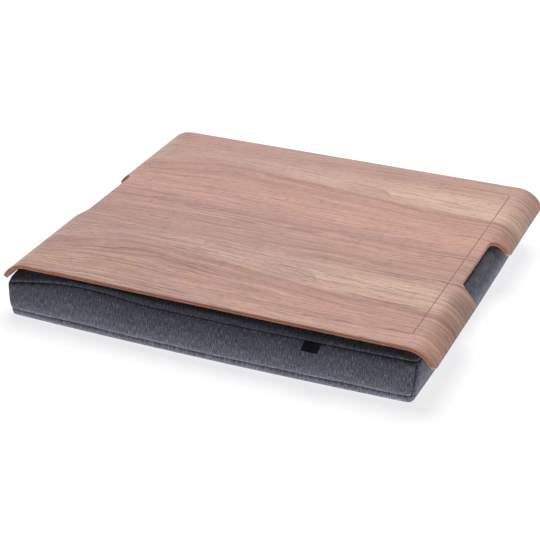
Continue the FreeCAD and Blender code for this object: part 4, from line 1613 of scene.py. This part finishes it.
@dataclass
class Cushion:
    """The bead cushion: its sewn cover, the seams, the liner and the beads."""

    workshop: Workshop
    form: CushionForm = field(default_factory=CushionForm)
    seam_depth: float = 0.0022
    seam_round: float = 0.0016
    seam_sink: float = 0.0011
    stitch_sink: float = 0.0013
    topstitch_gap: float = 0.0028
    cloth: float = 0.0009
    liner_inset: float = 0.0034
    liner_clearance: float = 0.0014
    liner_cloth: float = 0.0005
    bead_gap: float = 0.0009

    def build(self) -> None:
        """Builds the cover's panels, then everything that is sewn to them or lies inside."""
        skin = Skin(self.form)
        bag = skin.build(simulated=True)
        self.panels(skin)
        self.seams(skin)
        Tag(self.workshop).build(BVHTree.FromObject(bag, bpy.context.evaluated_depsgraph_get()))
        bpy.data.objects.remove(bag)
        self.liner()

    def panels(self, skin: Skin) -> None:
        """Cuts the cover into its sewn panels, with their edges turned in at the seams.

        Args:
            skin: the stuffed cover.
        """
        plan = (
            (Panel.TOP, "top_cloth", "cover_top_panel"),
            (Panel.BOTTOM, "bottom_cloth", "cover_bottom_panel"),
            (Panel.FRONT, "front_cloth", "cover_front_wall"),
            (Panel.RIGHT, "right_cloth", "cover_right_wall"),
            (Panel.LEFT, "left_cloth", "cover_left_wall"),
            (Panel.BACK, "back_cloth_upper", "cover_back_wall_upper"),
            (Panel.BACK, "back_cloth_lower", "cover_back_wall_lower"),
        )
        for which, name, node in plan:
            shape = skin.cut(which)
            if which is Panel.BACK:
                self.open_slot(shape, name.endswith("upper"))
            self.turn_in(shape)
            piece = finish_piece(
                f"cushion_{name}", shape, "cushion", (node,), subdivision=1, wall=self.cloth
            )
            self.workshop.dress(piece, Slot.COVER_FABRIC)

    def open_slot(self, shape: bmesh.types.BMesh, upper: bool) -> None:
        """Cuts the slot for the zip into the back panel and keeps the half above or below it.

        Args:
            shape: the back panel.
            upper: whether the upper half is kept.
        """
        form = self.form
        level, along = Vector((0, 0, 1)), Vector((1, 0, 0))
        cuts = [(level * z, level) for z in (form.zip_bottom, form.zip_middle, form.zip_top)]
        cuts += [(along * x, along) for x in (-form.zip_half_length, form.zip_half_length)]
        for place, way in cuts:
            slice_through(shape, place, way, 1e-5)
        gone = []
        for face in shape.faces:
            x, _, z = face.calc_center_median()
            in_slot = abs(x) < form.zip_half_length and form.zip_bottom < z < form.zip_top
            if in_slot or (z > form.zip_middle) != upper:
                gone.append(face)
        bmesh.ops.delete(shape, geom=gone, context="FACES")

    def turn_in(self, shape: bmesh.types.BMesh) -> None:
        """Turns a panel's edge in at the seams, which leaves the sunken line of a plain seam.

        Args:
            shape: the panel.
        """
        outward = shape.verts.layers.float_vector["outward"]
        bmesh.ops.inset_region(
            shape,
            faces=shape.faces[:],
            thickness=self.seam_round,
            use_boundary=True,
            use_even_offset=True,
        )
        rim = [e for e in shape.edges if e.is_boundary]
        for vert in dict.fromkeys(v for e in rim for v in e.verts):
            vert.co -= Vector(vert[outward]).normalized() * self.seam_sink
        turned = bmesh.ops.extrude_edge_only(shape, edges=rim)
        for vert in turned["geom"]:
            if isinstance(vert, bmesh.types.BMVert):
                vert.co -= Vector(vert[outward]).normalized() * self.seam_depth

    def seams(self, skin: Skin) -> None:
        """Sews the stitches into the seams, and two rows along the zip.

        Args:
            skin: the stuffed cover.
        """
        thread = Stitching(self.workshop)
        lines = skin.seams()
        for kind, node in (
            ("top", "top_seam_thread"),
            ("bottom", "bottom_seam_thread"),
            ("corner", "corner_seam_threads"),
        ):
            thread.build(f"{kind}_seam_stitches", lines[kind], self.stitch_sink, [node])
        out = Vector((0, 1, 0))
        reach, back = self.form.zip_half_length, self.form.upper_seam[4]
        for name, height in (
            ("upper", self.form.zip_top + self.topstitch_gap),
            ("lower", self.form.zip_bottom - self.topstitch_gap),
        ):
            row = [(Vector((x, back, height)), out) for x in (-reach, reach)]
            thread.build(f"zip_topstitch_{name}", [row], 0.0)

    def inner(self, gap: float) -> Skin:
        """Makes a bag that follows the settled cover from inside, a gap under the liner.

        Args:
            gap: how far the bag lies inside the liner.

        Returns:
            The bag.
        """
        clearance = self.liner_clearance + gap
        bag = Skin(
            self.form.shrunk(self.liner_inset + gap, clearance),
            lowest=clearance,
            highest=self.form.crown[0] - clearance,
        )
        bag.build(simulated=False)
        return bag

    def liner(self) -> None:
        """Makes the two halves of the liner, and the beads in it as one mass."""
        bag = self.inner(0.0)
        place = Vector((0, 0, self.form.zip_middle))
        for half, way in (("bottom", -1), ("top", 1)):
            shape = bag.cut()
            slice_through(shape, place, Vector((0, 0, way)), 1e-6, clear=True)
            node, wall = f"liner_bag_{half}", self.liner_cloth
            piece = finish_piece(f"liner_{half}_cloth", shape, "cushion", (node,), wall=wall)
            self.workshop.dress(piece, Slot.LINER_COTTON)
        bpy.data.objects.remove(bag.bag)
        beads = self.inner(self.bead_gap)
        piece = finish_piece("bead_mass", beads.cut(), "cushion", ("bead_filling",))
        self.workshop.dress(piece, Slot.FOAM_BEADS)
        bpy.data.objects.remove(beads.bag)


@dataclass
class Tag:
    """The folded ribbon sewn into the front's top seam, in metres and degrees."""

    workshop: Workshop
    width: float = 0.0165
    length: float = 0.0122
    ribbon: float = 0.0004
    gap: float = 0.0007
    lean: float = 62.0
    curl: float = 0.0007
    middle: float = 0.111
    seam: float = 0.0461
    seam_y: float = -0.1975
    pinched: float = 0.35
    pinched_length: float = 0.004
    skew: float = 0.02

    def build(self, cover: BVHTree) -> None:
        """Folds the ribbon over and sews its ends into the seam.

        Args:
            cover: the cover, which the ribbon starts at.
        """
        hit = cover.ray_cast(Vector((self.middle, -0.3, self.seam - 0.001)), Vector((0, 1, 0)))[0]
        root = Vector((self.middle, hit.y if hit else self.seam_y, self.seam))
        shape = bmesh.new()
        cloth = shape.loops.layers.uv.new("cloth")
        bmesh.ops.create_grid(shape, x_segments=10, y_segments=26, size=0.5)
        ribbon = {vert: (vert.co.x * self.width, vert.co.y) for vert in shape.verts}
        for vert, (across, share) in ribbon.items():
            vert.co = root + self.at(across, share)
        for face in shape.faces:
            for loop in face.loops:
                across, share = ribbon[loop.vert]
                loop[cloth].uv = (across, share * 2 * self.length)
        bmesh.ops.recalc_face_normals(shape, faces=shape.faces[:])
        piece = finish_piece("woven_tag_ribbon", shape, "cushion", ("woven_tag",), 1, self.ribbon)
        self.workshop.dress(piece, Slot.TAG_RIBBON)

    def at(self, across: float, share: float) -> Vector:
        """Puts a point of the ribbon on the folded tag.

        Args:
            across: the place across the ribbon.
            share: the place along it, from -0.5, the inner end, to 0.5, the outer end.

        Returns:
            The point, as measured from the middle of the seam under the tag.
        """
        along = (1 - abs(share) * 2) * self.length
        radius = self.gap / 2 + self.ribbon / 2
        layer = math.copysign(radius, share)
        reach = min(along, self.length - radius)
        past = min(1.0, (along - reach) / radius)
        if past > 0:
            layer *= math.cos(past * math.pi / 2)
            reach += radius * math.sin(past * math.pi / 2)
        opened = min(1.0, reach / self.pinched_length)
        layer *= self.pinched + (1 - self.pinched) * opened
        bend = self.curl * (reach / self.length) ** 2 * (1 + 0.6 * across / self.width)
        tilt = math.radians(self.lean)
        out = reach * math.sin(tilt) + (layer + bend) * math.cos(tilt)
        down = reach * math.cos(tilt) - (layer + bend) * math.sin(tilt)
        return Vector((across, -out - 0.0001, -down - across * self.skew))


@dataclass
class Tapes:
    """The zip's tapes, and the hook and loop tapes between board and cushion, in metres."""

    workshop: Workshop
    strip: tuple[float, float] = (0.120, 0.020)
    spread: float = 0.250
    corner: float = 0.003
    backing: float = 0.0004
    pitch: float = 0.0026
    margin: float = 0.0016
    yarn: float = 0.00014
    hook_bend: float = 0.0003
    hook_rest: float = 0.00045
    loop_bend: float = 0.0004

    def build(self) -> None:
        """Builds every tape in place of its CAD box."""
        for half in ("upper", "lower"):
            node = f"zip_tape_{half}"
            shape = self.slab([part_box(node)], 0.0)
            piece = finish_piece(f"{node}_cloth", shape, "cushion", (node,))
            self.workshop.dress(piece, Slot.ZIP_TAPE)
        for node, body, slot in (
            ("hook_tapes", "tray", Slot.HOOK_TAPE),
            ("loop_tapes", "cushion", Slot.LOOP_TAPE),
        ):
            low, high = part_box(node)
            bottom = high.z - self.backing if slot is Slot.HOOK_TAPE else low.z
            levels = (bottom, bottom + self.backing)
            half = Vector((self.strip[0] / 2, self.strip[1] / 2, 0))
            boxes = []
            for x in (-self.spread / 2, self.spread / 2):
                for y in (-self.spread / 2, self.spread / 2):
                    below, above = (Vector((x, y, level)) for level in levels)
                    boxes.append((below - half, above + half))
            shape = self.slab(boxes, self.corner)
            piece = finish_piece(f"{node}_backing", shape, body, (node,))
            self.workshop.dress(piece, slot)
            self.pile(node, body, slot, levels, high.z - low.z - self.backing)

    def slab(self, boxes: Iterable[tuple[Vector, Vector]], corner: float) -> bmesh.types.BMesh:
        """Makes thin slabs of tape with a flat cloth map, and rounds their upright corners.

        Args:
            boxes: each slab's lowest and highest corner.
            corner: the corners' radius, or 0 for none.

        Returns:
            The slabs' shape.
        """
        shape = bmesh.new()
        for low, high in boxes:
            low, high = Vector(low), Vector(high)
            size = Matrix.Diagonal((*(high - low), 1))
            place = Matrix.Translation((low + high) / 2)
            bmesh.ops.create_cube(shape, size=1.0, matrix=place @ size)
        if corner:
            upright = [e for e in shape.edges if abs(e.verts[0].co.z - e.verts[1].co.z) > 1e-5]
            bmesh.ops.bevel(
                shape,
                geom=upright,
                offset=corner,
                segments=4,
                profile=0.5,
                affect="EDGES",
                clamp_overlap=True,
                material=-1,
            )
        lay_cloth_flat(shape)
        return shape

    def pile(self, node: str, body: str, slot: Slot, levels: Point, height: float) -> None:
        """Covers the tapes with rows of hooks, or of loops.

        Args:
            node: the CAD node of the tapes.
            body: the body that carries them.
            slot: which of the two tapes it is.
            levels: the bottom and top of the backing.
            height: how high the pile may stand.
        """
        shape = bmesh.new()
        hook = slot is Slot.HOOK_TAPE
        bmesh.ops.create_circle(shape, segments=4, radius=self.yarn)
        rim = shape.edges[:]
        if hook:
            tall = height - self.hook_rest
            rod = bmesh.ops.extrude_edge_only(shape, edges=rim)["geom"]
            top = [g for g in rod if isinstance(g, bmesh.types.BMVert)]
            bmesh.ops.translate(shape, vec=(0, 0, tall), verts=top)
            rim = [g for g in rod if isinstance(g, bmesh.types.BMEdge) and g.is_boundary]
            middle, angle, steps = Vector((self.hook_bend, 0, tall)), math.radians(200), 4
        else:
            middle, angle, steps = Vector((self.loop_bend, 0, 0)), math.radians(180), 6
        bmesh.ops.spin(
            shape,
            geom=rim + list(dict.fromkeys(v for e in rim for v in e.verts)),
            cent=middle,
            axis=(0, 1, 0),
            angle=angle,
            steps=steps,
            use_merge=False,
            use_duplicate=False,
        )
        if hook:
            bmesh.ops.scale(shape, vec=(1, 1, -1), verts=shape.verts[:])
        half_x, half_y = (side / 2 - self.margin for side in self.strip)
        foot = levels[0] if hook else levels[1]
        origin = Vector((-self.spread / 2 - half_x, -self.spread / 2 - half_y, foot))
        bmesh.ops.translate(shape, vec=origin, verts=shape.verts[:])
        bmesh.ops.recalc_face_normals(shape, faces=shape.faces[:])
        lay_cloth_flat(shape)
        piece = finish_piece(f"{node}_pile", shape, body)
        columns, rows = (int(2 * half / self.pitch) + 1 for half in (half_x, half_y))
        for name, count, step in (
            ("Along", columns, (self.pitch, 0, 0)),
            ("Across", rows, (0, self.pitch, 0)),
            ("Right pair", 2, (self.spread, 0, 0)),
            ("Back pair", 2, (0, self.spread, 0)),
        ):
            row = piece.modifiers.new(name, "ARRAY")
            row.count = count
            row.use_relative_offset = False
            row.use_constant_offset = True
            row.constant_offset_displace = step
        self.workshop.dress(piece, slot)


@dataclass
class Zip:
    """The zip's teeth, stops, slider and pull."""

    workshop: Workshop
    nodes: tuple[str, ...] = (
        "zip_teeth_upper",
        "zip_teeth_lower",
        "zip_end_stops",
        "zip_slider",
        "zip_pull",
    )

    def build(self) -> None:
        """Dresses the zip's hard parts."""
        for name in self.nodes:
            self.workshop.dress_node(name)


# ---------------------------------------------------------------- camera, light and floor


@dataclass(frozen=True)
class PhotoCamera:
    """The camera of the photograph, in metres and degrees."""

    place: tuple[float, float, float] = (0.57303, -1.38312, 0.77800)
    azimuth: float = -23.099
    elevation: float = 27.276
    roll: float = 0.266
    lens: float = 104.545

    def build(self) -> None:
        """Sets the camera up and makes it the scene's own."""
        azimuth, elevation, roll = map(math.radians, (self.azimuth, self.elevation, self.roll))
        level = math.cos(elevation)
        ahead = Vector((level * math.sin(azimuth), level * math.cos(azimuth), -math.sin(elevation)))
        right = Vector((math.cos(azimuth), -math.sin(azimuth), 0.0))
        up = right.cross(ahead)
        turned_right = right * math.cos(roll) + up * math.sin(roll)
        turned_up = up * math.cos(roll) - right * math.sin(roll)
        data = bpy.data.cameras.new("photo_camera")
        data.lens = self.lens
        data.sensor_width = 36.0
        data.clip_start = 0.01
        data.clip_end = 50.0
        camera = in_scene("photo_camera", data)
        turn = Matrix((turned_right, turned_up, -ahead)).transposed()
        camera.matrix_world = Matrix.Translation(self.place) @ turn.to_4x4()
        bpy.context.scene.camera = camera


@dataclass(frozen=True)
class SoftLight:
    """A large soft lamp that looks at the tray, in metres and watts."""

    name: str
    place: tuple[float, float, float]
    size: float
    power: float
    target: tuple[float, float, float] = (0.0, 0.0, 0.03)
    colour: str = "#FFFFFF"

    def build(self) -> None:
        """Adds the lamp."""
        data = bpy.data.lights.new(self.name, "AREA")
        data.shape = "DISK"
        data.size = self.size
        data.energy = self.power
        data.color = linear(self.colour)[:3]
        way = Vector(self.target) - Vector(self.place)
        turn = way.to_track_quat("-Z", "Y").to_matrix().to_4x4()
        in_scene(self.name, data).matrix_world = Matrix.Translation(self.place) @ turn


@dataclass
class Studio:
    """A white sweep under a large soft lamp, as in the photograph."""

    sky: float = 0.21
    sky_height: Point = (0.2, 1.45)
    sky_depth: Point = (0.0, 2.0)
    floor_tone: str = "#A5A4A3"
    floor_tint: str = "#FDFDFF"
    floor_lift: float = 0.77
    floor_glow: float = 2.6
    glow_reach: float = 0.055
    footprint: tuple[float, float] = (0.222, 0.197)
    lamps: tuple[SoftLight, ...] = (
        SoftLight("window_softbox", (-0.20, 0.85, 2.2), 1.9, 51.0),
    )

    def build(self) -> None:
        """Builds the sky, the floor and the lamps."""
        bpy.context.scene.view_settings.view_transform = "Standard"
        self.room()
        self.floor()
        for lamp in self.lamps:
            lamp.build()

    def room(self) -> None:
        """Lights the room: brightest overhead and behind the board, dim near the floor in front."""
        world = bpy.data.worlds.new("white_studio")
        tree = bare_tree(world)
        seen = seen_rays(tree)
        way = add_node(tree, "TexCoord").outputs["Generated"]
        axes = add_node(tree, "SeparateXYZ", {0: way}).outputs
        low, high = self.sky_height
        sky = add_node(tree, "MapRange", {"Value": axes["Z"], 1: 0.2, 2: 0.9, 3: low, 4: high})
        front, back = self.sky_depth
        depth = add_node(tree, "MapRange", {"Value": axes["Y"], 1: -0.6, 2: 0.6, 3: front, 4: back})
        for part in (depth, self.sky):
            sky = add_node(tree, "Math", {0: sky, 1: part}, operation="MULTIPLY")
        strength = add_node(tree, "Mix", {0: seen, 2: sky, 3: 1.0})
        sky = add_node(tree, "Background", {"Color": linear("#FFFFFF"), "Strength": strength})
        add_node(tree, "OutputWorld", {"Surface": sky})
        bpy.context.scene.world = world

    def floor(self) -> None:
        """Lays the white floor, which the camera sees as almost white apart from the shadow."""
        shape = bmesh.new()
        bmesh.ops.create_grid(shape, x_segments=2, y_segments=2, size=6.0)
        floor = in_scene("studio_floor", as_mesh("studio_floor", shape))
        floor.location.z = -0.0002
        material = bpy.data.materials.new("white_paper_sweep")
        tree = bare_tree(material)
        seen = seen_rays(tree)
        # Close round the cushion the sweep glows, a painted light that no lamp gives, which it
        # throws up at its walls, and it glows less farther off.
        away = add_node(tree, "TexCoord").outputs["Object"]
        for operation, inputs in (
            ("ABSOLUTE", {}),
            ("SUBTRACT", {1: (*self.footprint, 1.0)}),
            ("MAXIMUM", {1: (0, 0, 0)}),
            ("LENGTH", {}),
        ):
            away = add_node(tree, "VectorMath", {0: away, **inputs}, operation=operation)
        away = away.outputs["Value"]
        near = add_node(tree, "Math", {0: away, 1: -1 / self.glow_reach}, operation="MULTIPLY")
        near = add_node(tree, "Math", {0: near}, operation="EXPONENT")
        glow = add_node(tree, "Math", {0: near, 1: self.floor_glow}, operation="MULTIPLY")
        far = {"Value": away, 1: 0.3, 2: 1.3, 3: self.floor_lift, 4: 1.0}
        far = add_node(tree, "MapRange", far)
        paper = {
            "Base Color": linear(self.floor_tone),
            "Roughness": 1.0,
            "Specular IOR Level": 0.0,
            "Emission Color": linear(self.floor_tint),
            "Emission Strength": add_node(tree, "Mix", {0: seen, 2: glow, 3: far}),
        }
        paper = add_node(tree, "BsdfPrincipled", paper)
        add_node(tree, "OutputMaterial", {"Surface": paper})
        material.cycles.emission_sampling = "NONE"
        floor.data.materials.append(material)


# ---------------------------------------------------------------- the whole


def main() -> None:
    """Builds the scene in order and reports each piece."""
    logging.basicConfig(level=logging.INFO, format="%(name)s: %(message)s")
    workshop = Workshop()
    PhotoCamera().build()
    Studio().build()
    Board(workshop).build()
    Cushion(workshop).build()
    Tapes(workshop).build()
    Zip(workshop).build()


if __name__ == "__main__":
    main()
